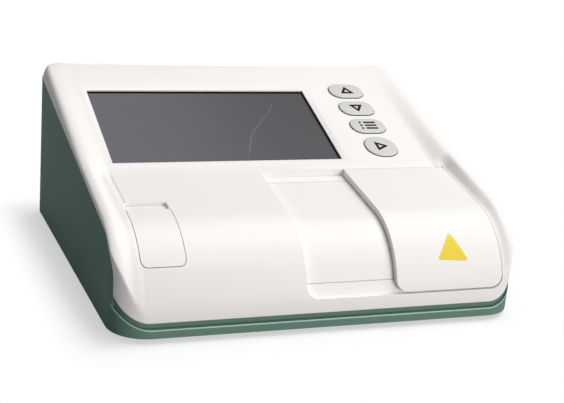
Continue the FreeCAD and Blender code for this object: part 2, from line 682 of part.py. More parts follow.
def make_keys():
    for name, x, up, kind in KEYS:
        body = make_body(name, CONSOLE)
        cap = body_sketch(body, name + "_outline", "XY_Plane", key_outline(x, up, kind), -z.wall - z.key_travel)
        pad = feature(body, "Pad", name + "_cap", cap, Length="wall + key_travel + key_proud")
        edges = [f"Edge{i + 1}" for i, edge in enumerate(pad.Shape.Edges)
                 if edge.CenterOfMass.z > z.key_proud - 0.01]
        crown = body.newObject("PartDesign::Fillet", name + "_crown")
        crown.Base = (pad, edges)
        bind(crown, "Radius", "key_proud * 0.8")
        body.Tip = crown
        doc.recompute()
        flange = body_sketch(body, name + "_flange_outline", "XY_Plane",
                             key_outline(x, up, kind, z.key_flange), -z.wall - z.key_slack)
        feature(body, "Pad", name + "_flange", flange, Length="key_flange", Reversed=True)
        stem = body_sketch(body, name + "_stem_outline", "XY_Plane", ring(x, up, z.switch_side / 3),
                           STEM_LOW)
        feature(body, "Pad", name + "_stem", stem, Length=-z.wall - z.key_slack - STEM_LOW)
        node(name, body)
    low = KEYS[0][2]
    high = KEYS[3][2]
    side = z.key_wide / 2 + z.key_flange + z.key_clear + z.ear_radius + z.board_rim
    over = z.key_tall / 2
    plate = box("key_board_plate", (z.key_mid - side, low - over, BOARD_TOP - z.board_thick),
                (2 * side, high - low + 2 * over, "board_thick"), CONSOLE)
    holes = []
    for index, (x, up) in enumerate(board_bosses()):
        holes.append(cylinder(f"key_board_hole_{index}", (x, up, BOARD_TOP - 4), 1.1, 6, Z_AXIS, CONSOLE))
    node("key_board", cut("key_board_cut", plate, *holes))
    switches = []
    for name, x, up, kind in KEYS:
        half = z.switch_side / 2
        case = box(name + "_case", (x - half, up - half, BOARD_TOP), ("switch_side", "switch_side",
                   "switch_high - 1"), CONSOLE)
        plunger = cylinder(name + "_plunger", (x, up, BOARD_TOP), 1.75, "switch_high", Z_AXIS, CONSOLE)
        switches.append(fuse(name + "_switch", case, plunger))
    node("key_switches", add("Part::Compound", "key_switch_set", Links=switches))


# Sliding cover: a curved shell that floats over the recess, with four tongues on two runners

def make_cover():
    low = z.recess_low + z.cover_rise
    back = RECESS_BACK - z.cover_gap
    depth = z.recess_deep - z.cover_float
    outer = common("cover_outer", slab("cover_layer", 0, depth, back, -BEYOND / 2, BEYOND / 2),
                   front_window("cover_window", z.cover_left, z.cover_right, low, z.recess_round - z.cover_gap))
    inner = common("cover_inner",
                   slab("cover_hollow", z.cover_wall, depth + 5, back - z.cover_wall, -BEYOND / 2, BEYOND / 2),
                   front_window("cover_inner_window", z.cover_left + z.cover_wall, z.cover_right - z.cover_wall,
                                low + z.cover_wall, z.recess_round - z.cover_gap - z.cover_wall))
    back_y = (RECESS_BACK - CREASE_Y) / lean(z.deck_tilt) - z.slot_back
    first = z.cover_left + z.tongue_first
    top = -z.cover_wall + z.cover_lap
    below = z.pan_thick + z.cover_float + z.runner_thick
    back_length = top + z.recess_deep + below
    nose_length = z.recess_deep + top + below
    tongues = [
        box("tongue_back", (first, back_y - z.tongue_thick / 2, top - back_length),
            ("tongue_long", "tongue_thick", back_length), DECK),
        box("tongue_nose", (first, -z.tongue_thick / 2, -below), ("tongue_long", "tongue_thick", nose_length), NOSE),
    ]
    skin = cut("cover_skin", outer, inner)
    node("sliding_cover", fuse("cover_whole", cut("cover_trim", skin, ramp("cover_ramp", z.cover_float)), *tongues))
    for label, frame, y, under in (("cover_runner_back", DECK, back_y, -PAN_DEEP - z.cover_float),
                                   ("cover_runner_front", NOSE, 0.0, -z.pan_thick - z.cover_float)):
        strip = box(label + "_strip",
                    (first + z.tongue_long + 1 - z.runner_long, y - z.runner_wide / 2, under - z.runner_thick),
                    ("runner_long", "runner_wide", "runner_thick"), frame)
        hole = box(label + "_hole", (first, y - z.tongue_thick / 2, under - z.runner_thick - 1),
                   ("tongue_long", "tongue_thick", z.runner_thick + 2), frame)
        node(label, cut(label + "_cut", strip, hole))


# Measuring bay: strip stage with two channels, glass eyes, heater plate, optics block and board

def make_bay():
    top = -z.recess_deep - z.stage_sunk
    gap = z.stage_gap
    low = BAY_LOW + gap
    left = z.bay_left + gap
    wide = z.bay_wide - 2 * gap
    long = z.bay_long - 2 * gap
    block = box("stage_block", (left, low, top - z.stage_high), (wide, long, "stage_high"), DECK)
    flange = box("stage_flange_plate", (left - z.stage_flange, low - z.stage_flange, -PAN_DEEP - z.flange_thick),
                 (wide + 2 * z.stage_flange, long + 2 * z.stage_flange, "flange_thick"), DECK)
    cuts = []
    eyes = []
    for side in (-1, 1):
        x = left + wide / 2 + side * z.channel_pitch / 2
        channel = box(f"channel_{side + 1}", (x - z.channel_wide / 2, low - 1, top - z.channel_deep),
                      ("channel_wide", "channel_long", "channel_deep + 1"), DECK)
        cuts.append(channel)
        for place in (0.45, 0.8):
            y = low + place * z.channel_long
            key = f"{side + 1}_{int(place * 100)}"
            cuts.append(cylinder("eye_hole_" + key, (x, y, top - z.stage_high - 1), "eye_radius - 0.6",
                                 z.stage_high + 2, Z_AXIS, DECK))
            cuts.append(cylinder("eye_seat_" + key, (x, y, top - z.channel_deep - z.eye_glass),
                                 "eye_radius", z.channel_deep + z.eye_glass + 1, Z_AXIS, DECK))
            eyes.append(cylinder("eye_" + key, (x, y, top - z.channel_deep - z.eye_glass),
                                 "eye_radius", "eye_glass", Z_AXIS, DECK))
    node("strip_stage", cut("stage", fuse("stage_body", block, flange), *cuts))
    node("stage_windows", add("Part::Compound", "eye_set", Links=eyes))
    heater_top = top - z.stage_high
    plate = box("heater_plate", (left + 1, low + 1, heater_top - z.heater_thick),
                (wide - 2, long - 2, "heater_thick"), DECK)
    holes = []
    for side in (-1, 1):
        x = left + wide / 2 + side * z.channel_pitch / 2
        for place in (0.45, 0.8):
            holes.append(cylinder(f"heater_hole_{side + 1}_{int(place * 100)}",
                                  (x, low + place * z.channel_long, heater_top - z.heater_thick - 1),
                                  "eye_radius - 0.6", z.heater_thick + 2, Z_AXIS, DECK))
    node("stage_heater", cut("heater", plate, *holes))
    inset = z.optics_inset
    optics_top = heater_top - z.heater_thick
    optics = box("optics_case", (left + inset, low + inset, optics_top - z.optics_high),
                 (wide - 2 * inset, long - 2 * inset, "optics_high"), DECK)
    node("optics_block", optics)
    board = box("optics_plate", (left + 1, low + 1, optics_top - z.optics_high - z.board_thick),
                (wide - 2, long - 2, "board_thick"), DECK)
    node("optics_board", board)


# Flap over the code key, hinged near its lower edge

def make_flap():
    skin = common("flap_skin", slab("flap_layer", 0, z.flap_thick, FLAP_BACK, -BEYOND / 2, BEYOND / 2),
                  front_window("flap_window", z.flap_left, FLAP_RIGHT, z.flap_low, z.flap_round))
    inner_left = z.flap_left + z.flap_ledge + 1
    knuckle_wide = z.flap_wide - 2 * z.flap_ledge - 2
    knuckle = cylinder("flap_knuckle", (inner_left, PIN_Y, PIN_Z), "pin_radius * 2", knuckle_wide, X_AXIS)
    bore = cylinder("flap_bore", (z.flap_left - 1, PIN_Y, PIN_Z), "pin_radius + pin_clear", "flap_wide + 2",
                    X_AXIS)
    node("slot_flap", cut("flap_cut", fuse("flap_body", skin, knuckle), bore))
    pin = cylinder("pin", (z.flap_left - z.wall * 0.6, PIN_Y, PIN_Z), "pin_radius", "flap_wide + wall * 1.2",
                   X_AXIS)
    node("flap_pin", pin)
    floor = z.well_deep - z.wall
    seat_y = (FLAP_BACK - CREASE_Y) / lean(z.deck_tilt) - z.socket_long - z.socket_back
    middle = z.flap_left + z.flap_wide / 2
    case = box("socket_case", (middle - z.socket_wide / 2, seat_y, -floor),
               ("socket_wide", "socket_long", "socket_high"), DECK)
    mouth = box("socket_mouth", (middle - z.code_wide / 2, seat_y + z.socket_long / 2 - z.code_thick / 2, -floor + 1.5),
                ("code_wide", "code_thick", "socket_high"), DECK)
    node("code_socket", cut("socket", case, mouth))
    key = box("code_blade", (middle - z.code_wide / 2, seat_y + z.socket_long / 2 - z.code_thick / 2, -floor + 1.5),
              ("code_wide", "code_thick", "code_long"), DECK)
    node("code_key", key)


# Base shell

def make_base():
    low = z.foot_high
    floor_top = low + z.floor_thick
    walls = common("base_walls",
                   cut("base_ring", plan_prism("base_outer", 0.0, low, 120), plan_prism("base_inner", z.wall, low, 121)),
                   fuse("base_zone", below_seam("seam_below", 0.0),
                        box("front_zone", (-HALF - 1, FRONT_FACE - 1, 0),
                            ("width + 2", "depth + 2", SEAM_Z - z.seam_gap)),
                        *seam_corners("base_corner", z.seam_round + z.seam_gap)))
    band_corner = z.corner_front + z.band_proud
    band_outer = plan_prism("band_outer", 0.0, low, low + z.band_high, FRONT_FACE, band_corner)
    band_step = SEAM_Z - low - z.band_high
    corner_top = SEAM_Z + z.seam_round
    band_inner = plan_prism("band_inner", z.wall, floor_top, corner_top + 1)
    rises = []
    sectors = [box("groove_strip", (z.seam_round - HALF, FRONT_FACE - 1, low + z.band_high),
                   ("width - seam_round * 2", "seam_front", band_step))]
    low_corners = seam_corners("band_corner", z.seam_round + band_step)
    for index, corner in enumerate(low_corners):
        body = plan_prism(f"rise_body_{index}", 0.0, low + z.band_high - 1, corner_top, FRONT_FACE, band_corner)
        rises.append(common(f"band_rise_{index}", body, corner))
    for index, corner in enumerate(seam_corners("groove_corner", z.seam_round)):
        sectors.append(cut(f"groove_sector_{index}", corner, low_corners[index]))
    groove = common("groove", cut("groove_ring", plan_prism("groove_outer", -1, low, corner_top),
                                  plan_prism("groove_inner", z.groove_deep, low - 1, corner_top + 1)),
                    fuse("groove_zone", *sectors),
                    box("groove_front", (-HALF - 2, FRONT_FACE - 1, 0),
                        ("width + 4", "seam_front + band_proud + 1", BEYOND)))
    posts = []
    cuts = [groove]
    for index, (x, y) in enumerate(POSTS):
        posts.append(cylinder(f"post_{index}", (x, y, low), "post_radius", z.post_high - low))
        cuts.append(cylinder(f"post_bore_{index}", (x, y, 0), "screw_radius + screw_clear", z.post_high + 1))
        cuts.append(cylinder(f"post_head_{index}", (x, y, 0), "screw_head + screw_clear", low + z.head_sunk))
    for index, (x, y) in enumerate(board_posts()):
        posts.append(cylinder(f"board_post_{index}", (x, y, low), "board_post", floor_top + z.board_up - low))
    for index, (name, x, y) in enumerate(feet()):
        cuts.append(cylinder(f"foot_hole_{index}", (x, y, 0), "foot_stud", BEYOND / 10))
    cuts += rear_cuts()
    shell = cut("band", fuse("band_whole", band_outer, *rises), band_inner)
    node("base_shell", cut("base_whole", fuse("base_body", walls, shell, *posts), *cuts))
    screws = []
    for index, (x, y) in enumerate(POSTS):
        head_z = low + z.head_sunk
        head = cylinder(f"screw_head_{index}", (x, y, head_z - z.head_high), "screw_head", "head_high")
        shank = cylinder(f"screw_{index}", (x, y, head_z - 1), "screw_radius",
                         z.post_high + z.screw_bite - head_z + 1)
        screws.append(fuse(f"screw_whole_{index}", head, shank))
    node("housing_screws", add("Part::Compound", "screw_set", Links=screws))


def feet():
    places = []
    foot_x = HALF - z.foot_side_in
    for back, y in (("back", BACK - z.foot_back_in), ("front", FRONT_FACE + z.foot_front_in)):
        for side, x in (("left", -foot_x), ("right", foot_x)):
            places.append((f"foot_{back}_{side}", x, y))
    return places


def make_feet():
    for name, x, y in feet():
        body = make_body(name, Placement(Vector(x, y, 0), Rotation()))
        top = z.foot_high + z.floor_thick
        outline = polygon([(0, 0), (z.foot_radius - 0.8, 0), (z.foot_radius, 0.8), (z.foot_radius, z.foot_high),
                           (z.foot_stud, z.foot_high), (z.foot_stud, top), (0, top)])
        drawing = body_sketch(body, name + "_outline", "XZ_Plane", outline)
        turned = body.newObject("PartDesign::Revolution", name + "_turned")
        turned.Profile = drawing
        turned.ReferenceAxis = (drawing, ["V_Axis"])
        turned.Angle = 360
        body.Tip = turned
        doc.recompute()
        node(name, body)


# Main board and the rear connectors

BOARD_LOW = z.foot_high + z.floor_thick + z.board_up
BOARD_FACE = BOARD_LOW + z.board_thick
BOARD_BACK = BACK - z.wall - z.board_gap
BOARD_MID = -15.0


def board_posts():
    inset = 6
    x = z.board_wide / 2 - inset
    return [(BOARD_MID + side * x, y) for y in (BOARD_BACK - z.board_long + inset, BOARD_BACK - inset)
            for side in (-1, 1)]


def connectors():
    """Rear pieces that pass through the back wall: name, middle, lower edge, width, height."""
    return [
        ("inlet", z.inlet_mid, z.inlet_up - z.inlet_high / 2, z.inlet_wide, z.inlet_high),
        ("port_0", z.ports_mid - z.port_pitch / 2, BOARD_FACE, z.port_wide, z.port_high),
        ("port_1", z.ports_mid + z.port_pitch / 2, BOARD_FACE, z.port_wide, z.port_high),
        ("serial", z.serial_mid, BOARD_FACE, z.serial_wide, z.serial_high),
        ("rocker", z.rocker_mid, z.rocker_up - z.rocker_high / 2, z.rocker_wide, z.rocker_high),
    ]


def flanged():
    """Rear pieces with a flange let into the wall's outer face."""
    return [item for item in connectors() if item[0] in ("inlet", "rocker")]


def flange(name, low_x, low_z, wide, high, deep):
    return box(name, (low_x - z.flange_rim, BACK - z.flange_sunk, low_z - z.flange_rim),
               (wide + 2 * z.flange_rim, deep, high + 2 * z.flange_rim))


def rear_cuts():
    cuts = []
    for name, x, low_z, wide, high in connectors():
        cuts.append(box(name + "_opening", (x - wide / 2, BACK - z.wall - 1, low_z), (wide, "wall + 2", high)))
    for name, x, low_z, wide, high in flanged():
        cuts.append(flange(name + "_seat", x - wide / 2, low_z, wide, high, "flange_sunk + 1"))
    first = z.vent_mid - (z.vent_count - 1) / 2 * z.vent_pitch
    for index in range(int(z.vent_count)):
        low_x = first + index * z.vent_pitch - z.vent_wide / 2
        cuts.append(box(f"vent_{index}", (low_x, BACK - z.wall - 1, z.rocker_up),
                        ("vent_wide", "wall + 2", "vent_high")))
    return cuts


def make_electronics():
    plate = box("main_plate", (BOARD_MID - z.board_wide / 2, BOARD_BACK - z.board_long, BOARD_LOW),
                ("board_wide", "board_long", "board_thick"))
    node("main_board", plate)
    make_inlet()
    ports = []
    for side in (0, 1):
        low_x = z.ports_mid + (side - 0.5) * z.port_pitch - z.port_wide / 2
        low_y = BACK - z.port_long
        case = box(f"port_case_{side}", (low_x, low_y, BOARD_FACE), ("port_wide", "port_long", "port_high"))
        inside = box(f"port_inside_{side}", (low_x + 0.5, low_y + 2, BOARD_FACE + 0.5),
                     ("port_wide - 1", "port_long", "port_high - 1"))
        tongue = box(f"port_tongue_{side}", (low_x + 1.2, low_y + 1, BOARD_FACE + 2.7),
                     ("port_wide - 2.4", "port_long - 2.5", "port_high - 3.7"))
        ports.append(fuse(f"port_{side}", cut(f"port_shell_{side}", case, inside), tongue))
    node("data_ports", add("Part::Compound", "port_set", Links=ports))
    serial = box("serial_case", (z.serial_mid - z.serial_wide / 2, BACK - z.serial_long, BOARD_FACE),
                 ("serial_wide", "serial_long", "serial_high"))
    mouth_wide = z.serial_wide * 0.55
    mouth_high = z.serial_high - 5
    mouth = box("serial_mouth", (z.serial_mid - mouth_wide / 2, BACK - z.serial_mouth, BOARD_FACE + 2.5),
                (mouth_wide, "serial_mouth + 1", mouth_high))
    node("serial_port", cut("serial", serial, mouth))
    make_rocker()


def make_inlet():
    low_x = z.inlet_mid - z.inlet_wide / 2
    low_y = BACK - z.inlet_long
    low_z = z.inlet_up - z.inlet_high / 2
    case = box("inlet_case", (low_x, low_y, low_z), ("inlet_wide", "inlet_long", "inlet_high"))
    rim_plate = flange("inlet_flange", low_x, low_z, z.inlet_wide, z.inlet_high, "flange_sunk")
    hollow = box("inlet_hollow", (low_x + z.inlet_wall, low_y + z.inlet_wall, low_z + z.inlet_wall),
                 ("inlet_wide - inlet_wall * 2", "inlet_long", "inlet_high - inlet_wall * 2"))
    blades = []
    for index, (side, up) in enumerate(((-1, 0), (0, 1), (1, 0))):
        blades.append(box(f"blade_{index}",
                          (z.inlet_mid + side * z.blade_side - z.blade_wide / 2, low_y + 1,
                           z.inlet_up - z.blade_high / 2 + up * z.blade_high + 0.5),
                          ("blade_wide", "blade_long + inlet_wall", "blade_high")))
    node("power_inlet", fuse("inlet", cut("inlet_body", fuse("inlet_outer", case, rim_plate), hollow), *blades))


def make_rocker():
    low_x = z.rocker_mid - z.rocker_wide / 2
    low_z = z.rocker_up - z.rocker_high / 2
    case = box("rocker_case", (low_x, BACK - 14, low_z), ("rocker_wide", 14, "rocker_high"))
    rim_plate = flange("rocker_flange", low_x, low_z, z.rocker_wide, z.rocker_high, "flange_sunk")
    hole = box("rocker_hole", (low_x + 2, BACK - 8, low_z + 2), ("rocker_wide - 4", 12, "rocker_high - 4"))
    pivot_y = BACK - 3.6
    bore = cylinder("rocker_bore", (low_x, pivot_y, z.rocker_up), 0.8, "rocker_wide", X_AXIS)
    axle = cylinder("rocker_axle", (low_x + 0.8, pivot_y, z.rocker_up), 0.75, "rocker_wide - 1.6", X_AXIS)
    node("switch_housing", cut("switch_case", fuse("switch_body", case, rim_plate), hole, bore))
    half = z.rocker_high / 2 - 2.9
    face = [(-2.2, -half * 0.5), (3.2, -half), (2.6, 0), (3.2, half), (-2.2, half * 0.5)]
    drawing = sketch("rocker_profile", polygon([(pivot_y + y, z.rocker_up + up) for y, up in face]),
                     Placement(Vector(low_x + 2.3, 0, 0), SIDE))
    paddle = extrude("rocker_paddle", drawing, X_AXIS, "rocker_wide - 4.6")
    node("switch_rocker", fuse("rocker", paddle, axle))


make_top_shell()
make_screen()
make_keys()
make_cover()
make_bay()
make_flap()
make_base()
make_feet()
make_electronics()
doc.recompute()

# Check every object, then write one file for each piece
failed = [item.Name for item in doc.Objects if "Invalid" in item.State or "Error" in item.State]
for piece in nodes:
    if piece.Shape.isNull() or not piece.Shape.isValid() or not piece.Shape.Solids:
        failed.append(piece.Label)
if failed:
    raise RuntimeError("failed: " + ", ".join(failed))
os.makedirs("parts", exist_ok=True)
for piece in nodes:
    piece.Shape.exportStep(os.path.join("parts", piece.Label + ".step"))
    box_now = piece.Shape.BoundBox
    print(f"{piece.Label}: {len(piece.Shape.Solids)} solids, {piece.Shape.Volume / 1000:.2f} cm3, "
          f"x {box_now.XMin:.1f} {box_now.XMax:.1f} y {box_now.YMin:.1f} {box_now.YMax:.1f} "
          f"z {box_now.ZMin:.1f} {box_now.ZMax:.1f}")
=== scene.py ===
from functools import partial

import bmesh
import bpy
import numpy as np
from mathutils import Euler, Matrix, Vector


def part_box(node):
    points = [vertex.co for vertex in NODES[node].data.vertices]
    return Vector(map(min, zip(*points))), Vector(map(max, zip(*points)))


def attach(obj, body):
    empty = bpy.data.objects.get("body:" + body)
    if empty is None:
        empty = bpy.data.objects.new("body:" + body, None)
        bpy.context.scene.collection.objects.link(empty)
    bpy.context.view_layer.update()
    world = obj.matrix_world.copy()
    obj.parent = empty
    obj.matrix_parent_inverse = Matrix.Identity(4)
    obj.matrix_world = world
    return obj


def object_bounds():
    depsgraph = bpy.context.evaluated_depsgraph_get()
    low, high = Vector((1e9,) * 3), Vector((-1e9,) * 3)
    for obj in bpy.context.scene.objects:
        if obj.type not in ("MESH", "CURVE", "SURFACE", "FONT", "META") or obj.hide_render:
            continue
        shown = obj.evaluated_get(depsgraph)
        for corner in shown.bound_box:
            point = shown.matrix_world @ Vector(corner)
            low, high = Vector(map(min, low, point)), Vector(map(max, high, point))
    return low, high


bl_info = {
    "name": "Dry Chemistry Analyzer",
    "version": (1, 0, 0),
    "blender": (4, 5, 0),
    "location": "3D View > Sidebar > Analyzer",
    "description": "Finishes the analyzer's housing, screen, keys, cover and connectors",
    "category": "Object",
}

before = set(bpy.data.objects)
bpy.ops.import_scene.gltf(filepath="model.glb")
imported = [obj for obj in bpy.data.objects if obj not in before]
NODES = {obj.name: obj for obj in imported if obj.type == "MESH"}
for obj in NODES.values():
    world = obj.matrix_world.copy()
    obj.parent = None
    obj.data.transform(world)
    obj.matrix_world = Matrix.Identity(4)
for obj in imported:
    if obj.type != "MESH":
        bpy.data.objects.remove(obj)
CAD_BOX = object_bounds()
MM = 0.001

# Housing, in millimetres

# The console's plane: its crease with the deck, and its tilt
CREASE = np.array([0.0, -16.0, 68.8])
CONSOLE_TILT = np.radians(18.06)
# The front shoulder: the axis of its curve as y and z, and the radius of the housing's face
SHOULDER_AXIS = np.array([-64.9, 10.7])
SHOULDER_RADIUS = 50.1
# The base's step seen from the front: the centre of its end curve as x and z, and that curve's radius
STEP_CENTRE = (106.0, 33.5)
STEP_RADIUS = 25.1
# How far from that curve the groove's painted shade ends and the painted highlight starts, and where it ends
GROOVE_END = (0.08, 0.14)
EDGE_END = (0.8, 1.0)
# Where both fade out behind the front face
FRONT_END = (-106.0, -98.0)
# How dark the groove's painted shade is, and how strongly the painted highlight shows on the edge
GROOVE_SHADE = 0.72
EDGE_SHARE = 0.85

# Screen, in millimetres across the console and up its slope

# The ends of the grey field, a crest of the streak's wave and its length, and where the streak fades
FIELD_ENDS = (-105.0, 49.0)
WAVE_CREST = 45.0
WAVE_LENGTH = 60.0
STREAK_START = (10.0, 30.0)
STREAK_END = (75.0, 90.0)
STREAK_SHARE = 0.14
STREAK_TONE = (0.45, 0.46, 0.5)
# How far the painted shade of the gap between glass and bezel fades in, and its tone
SHADE_STRIP_RAMP = 0.6
SHADE_STRIP_TONE = (0.004, 0.004, 0.005)

# Keys, in millimetres

# Each key's middle across the console and up its slope, and the height of its face over the console
KEYS = {"key_up": (80.8, 91.6), "key_down": (80.8, 69.3), "key_list": (80.8, 47.0), "key_next": (80.8, 21.9)}
KEY_TOP = 1.1
# Width, height and corner radius of each key, and the gap round it
WIDE_KEY = (25.6, 17.3, 8.2)
KEY_SIZES = {"key_up": WIDE_KEY, "key_down": WIDE_KEY, "key_list": WIDE_KEY, "key_next": (22.8, 22.6, 10.6)}
KEY_GAP = 0.4
# Where the painted shade on a key's side ends, from the console's face up
SKIRT_END = (0.3, 0.6)
# The arrow sign's corners about the key's middle in units of its side, and each arrow's turn in degrees
ARROW_UP = np.array([[-0.5, -0.36], [0.5, -0.36], [0.0, 0.5]])
ARROW_TURNS = {"key_up": 0.0, "key_down": 180.0, "key_next": -90.0}
# The list sign: the pitch of its rows, half a row's height, and the ends of its bars and dots
LIST_PITCH = 3.5
LIST_HALF = 0.9
LIST_BAR = (-2.4, 6.4)
LIST_DOT = (-5.9, -4.1)
# The ink, from under the key's face to over it
INK = (-0.05, 0.03)
# The ring of painted shade round a key: the depths of its edges, and its clearance from the key and the
# housing
GAP_SHADE_DEPTHS = (-0.8, -0.08)
GAP_SHADE_INSIDE = 0.03
GAP_SHADE_OUTSIDE = 0.02
ROUND_SLACK = 0.01

# The yellow triangle, in millimetres: its corners, its middle across the cover and the height of that point
TRIANGLE = ((-11.0, -7.2), (9.4, -8.6), (0.0, 10.5))
TRIANGLE_ACROSS = 83.4
TRIANGLE_HEIGHT = 43.5

# Connectors, in millimetres

# How far a finish piece reaches past the solid that it covers
SKIN = 0.06
# A blade from its root on the inlet's middle, and the places of the three blades beside and above that
BLADE = ((-1.0, 2.5, 0.0), (1.0, 15.0, 4.0))
BLADE_PLACES = ((-7.0, -1.5), (0.0, 2.5), (7.0, -1.5))
# A port's width, and its tongue from the port's low corner
PORT_WIDE = 13.2
TONGUE = ((1.2, 1.5, 2.7), (12.0, 12.5, 4.7))
# The serial port's floor behind its mouth, its insert from the middle of that floor, and its pins
SERIAL_DEEP = 5.6
INSERT = ((-8.4, -0.5, 2.6), (8.4, 0.3, 9.9))
PIN_ROWS = ((5, 7.7), (4, 4.8))
PIN_PITCH = 2.77
PIN_RADII = (0.0, 0.5, 0.5, 0.3, 0.0)
PIN_HEIGHTS = (0.0, 0.0, 4.2, 4.7, 4.7)
# The rocker's valley, its bar sign's corners, its ring sign's middle with both radii, and its ink
ROCKER_VALLEY = 0.6
ROCKER_BAR = ((3.2, 1.1), (3.7, 1.1), (3.7, 2.9), (3.2, 2.9))
ROCKER_RING = np.array([-3.4, 2.0])
RING_RADII = (1.05, 0.65)
ROCKER_INK = (-0.05, 0.05)

# Stage, in metres

# Each lamp's name, place, size and power, and the point that all of them face
LAMPS = (("key lamp", (1.3, -1.3, 1.2), 1.2, 5.0), ("top lamp", (0.7, 0.15, 1.9), 1.2, 29.3),
         ("front lamp", (0.8, -2.1, 0.4), 0.8, 22.0), ("rear lamp", (0.7, 2.2, 0.3), 0.5, 12.0))
LAMP_AIM = Vector((0, 0, 0.05))
# How much of the white background shows in a gloss, and how strongly the soft light comes from everywhere
GLOSS_SHARE = 0.45
SOFT_STRENGTH = 0.18
# The floor's colour for bounced light and for the camera, the share of its glow beside the object, and how
# far from the object it glows in full, in millimetres
FLOOR_BOUNCED = (0.36, 0.36, 0.36)
FLOOR_SEEN = (0.98, 0.98, 0.98)
FLOOR_NEAR = 0.55
FLOOR_FAR = 35.0
# The camera's place and its turn in degrees. The photograph is a crop, so the picture is shifted
EYE = (-0.28711, -0.73518, 0.29525)
EYE_TURN = (69.4756, -5.1296, -20.9022)
EYE_SHIFT = (-0.0177, 0.1064)


# Surfaces

def grid_faces(rows, columns, wrap_rows=False, wrap_columns=False):
    """Quads between neighbours of a grid of points, as rows of four indices. A wrapped side joins its last
    line of points to its first."""
    i = np.arange(rows if wrap_rows else rows - 1)
    j = np.arange(columns if wrap_columns else columns - 1)
    i, j = np.meshgrid(i, j, indexing="ij")
    i2 = (i + 1) % rows
    j2 = (j + 1) % columns
    quads = np.stack([i * columns + j, i * columns + j2, i2 * columns + j2, i2 * columns + j], axis=-1)
    return quads.reshape(-1, 4)


def build(name, parts, surface, smooth=False):
    """One mesh object of one material from several (points, quads) pairs, points in millimetres."""
    points = []
    faces = []
    start = 0
    for part_points, part_faces in parts:
        part_points = np.asarray(part_points, float).reshape(-1, 3)
        points.append(part_points)
        faces.append(np.asarray(part_faces) + start)
        start += len(part_points)
    mesh = bpy.data.meshes.new(name)
    mesh.from_pydata((np.concatenate(points) * MM).tolist(), [], np.concatenate(faces).tolist())
    mesh.validate()
    sheet = bmesh.new()
    sheet.from_mesh(mesh)
    bmesh.ops.remove_doubles(sheet, verts=sheet.verts, dist=1e-7)
    bmesh.ops.dissolve_degenerate(sheet, edges=sheet.edges, dist=1e-7)
    bmesh.ops.recalc_face_normals(sheet, faces=sheet.faces)
    sheet.to_mesh(mesh)
    sheet.free()
    mesh.polygons.foreach_set("use_smooth", np.full(len(mesh.polygons), smooth))
    mesh.materials.append(surface)
    mesh.update()
    thing = bpy.data.objects.new(name, mesh)
    bpy.context.scene.collection.objects.link(thing)
    return thing


def console_points(x, up, lift):
    """Points of the console: x across, up along its slope from the crease, lift along its normal."""
    sine, cosine = np.sin(CONSOLE_TILT), np.cos(CONSOLE_TILT)
    x, up, lift = np.broadcast_arrays(x, up, lift)
    y = CREASE[1] + up * cosine - lift * sine
    z = CREASE[2] + up * sine + lift * cosine
    return np.stack([x, y, z], axis=-1)


def shoulder_points(x, along, lift, start):
    """Points of the front shoulder: along is the arc length down from the height start, lift is outwards."""
    angle = np.arcsin((start - SHOULDER_AXIS[1]) / SHOULDER_RADIUS)
    x, along, lift = np.broadcast_arrays(x, along, lift)
    turn = angle - along / SHOULDER_RADIUS
    radius = SHOULDER_RADIUS + lift
    y = SHOULDER_AXIS[0] - radius * np.cos(turn)
    z = SHOULDER_AXIS[1] + radius * np.sin(turn)
    return np.stack([x, y, z], axis=-1)


def rounded_corners(corners, radius, steps=7):
    """Outline through corners, counter-clockwise, each replaced by an arc of the given radius: the arc's
    centre lies on the corner's bisector at radius over the sine of half its angle."""
    corners = np.asarray(corners, float)
    to_last = np.roll(corners, 1, axis=0) - corners
    to_next = np.roll(corners, -1, axis=0) - corners
    to_last /= np.linalg.norm(to_last, axis=1, keepdims=True)
    to_next /= np.linalg.norm(to_next, axis=1, keepdims=True)
    half = np.arccos(np.clip((to_last * to_next).sum(1), -1, 1)) / 2
    bisector = to_last + to_next
    bisector /= np.linalg.norm(bisector, axis=1, keepdims=True)
    centre = corners + bisector * (radius / np.sin(half))[:, None]
    first = np.arctan2(*(corners + to_last * (radius / np.tan(half))[:, None] - centre).T[::-1])
    last = np.arctan2(*(corners + to_next * (radius / np.tan(half))[:, None] - centre).T[::-1])
    sweep = (last - first + np.pi) % (2 * np.pi) - np.pi
    share = np.linspace(0, 1, steps)
    angle = first[:, None] + sweep[:, None] * share
    return (centre[:, None, :] + radius * np.stack([np.cos(angle), np.sin(angle)], axis=-1)).reshape(-1, 2)


def shrunk(corners, amount):
    """The corners of a convex polygon whose sides all moved inwards by amount."""
    corners = np.asarray(corners, float)
    along = np.roll(corners, -1, axis=0) - corners
    along /= np.linalg.norm(along, axis=1, keepdims=True)
    inwards = np.stack([-along[:, 1], along[:, 0]], axis=1)
    start = corners + inwards * amount
    last, last_along = np.roll(start, 1, axis=0), np.roll(along, 1, axis=0)
    cross = last_along[:, 0] * along[:, 1] - last_along[:, 1] * along[:, 0]
    gap = start - last
    reach = (gap[:, 0] * along[:, 1] - gap[:, 1] * along[:, 0]) / cross
    return last + last_along * reach[:, None]


def even(outline, count=240):
    """The closed outline at even steps of its length."""
    closed = np.vstack([outline, outline[:1]])
    along = np.concatenate([[0], np.cumsum(np.linalg.norm(np.diff(closed, axis=0), axis=1))])
    steps = np.linspace(0, along[-1], count, endpoint=False)
    return np.stack([np.interp(steps, along, closed[:, 0]), np.interp(steps, along, closed[:, 1])], axis=1)


def oblong(ends, low, high):
    """The corners of an upright rectangle, counter-clockwise, between two ends across and two heights."""
    return [[ends[0], low], [ends[1], low], [ends[1], high], [ends[0], high]]


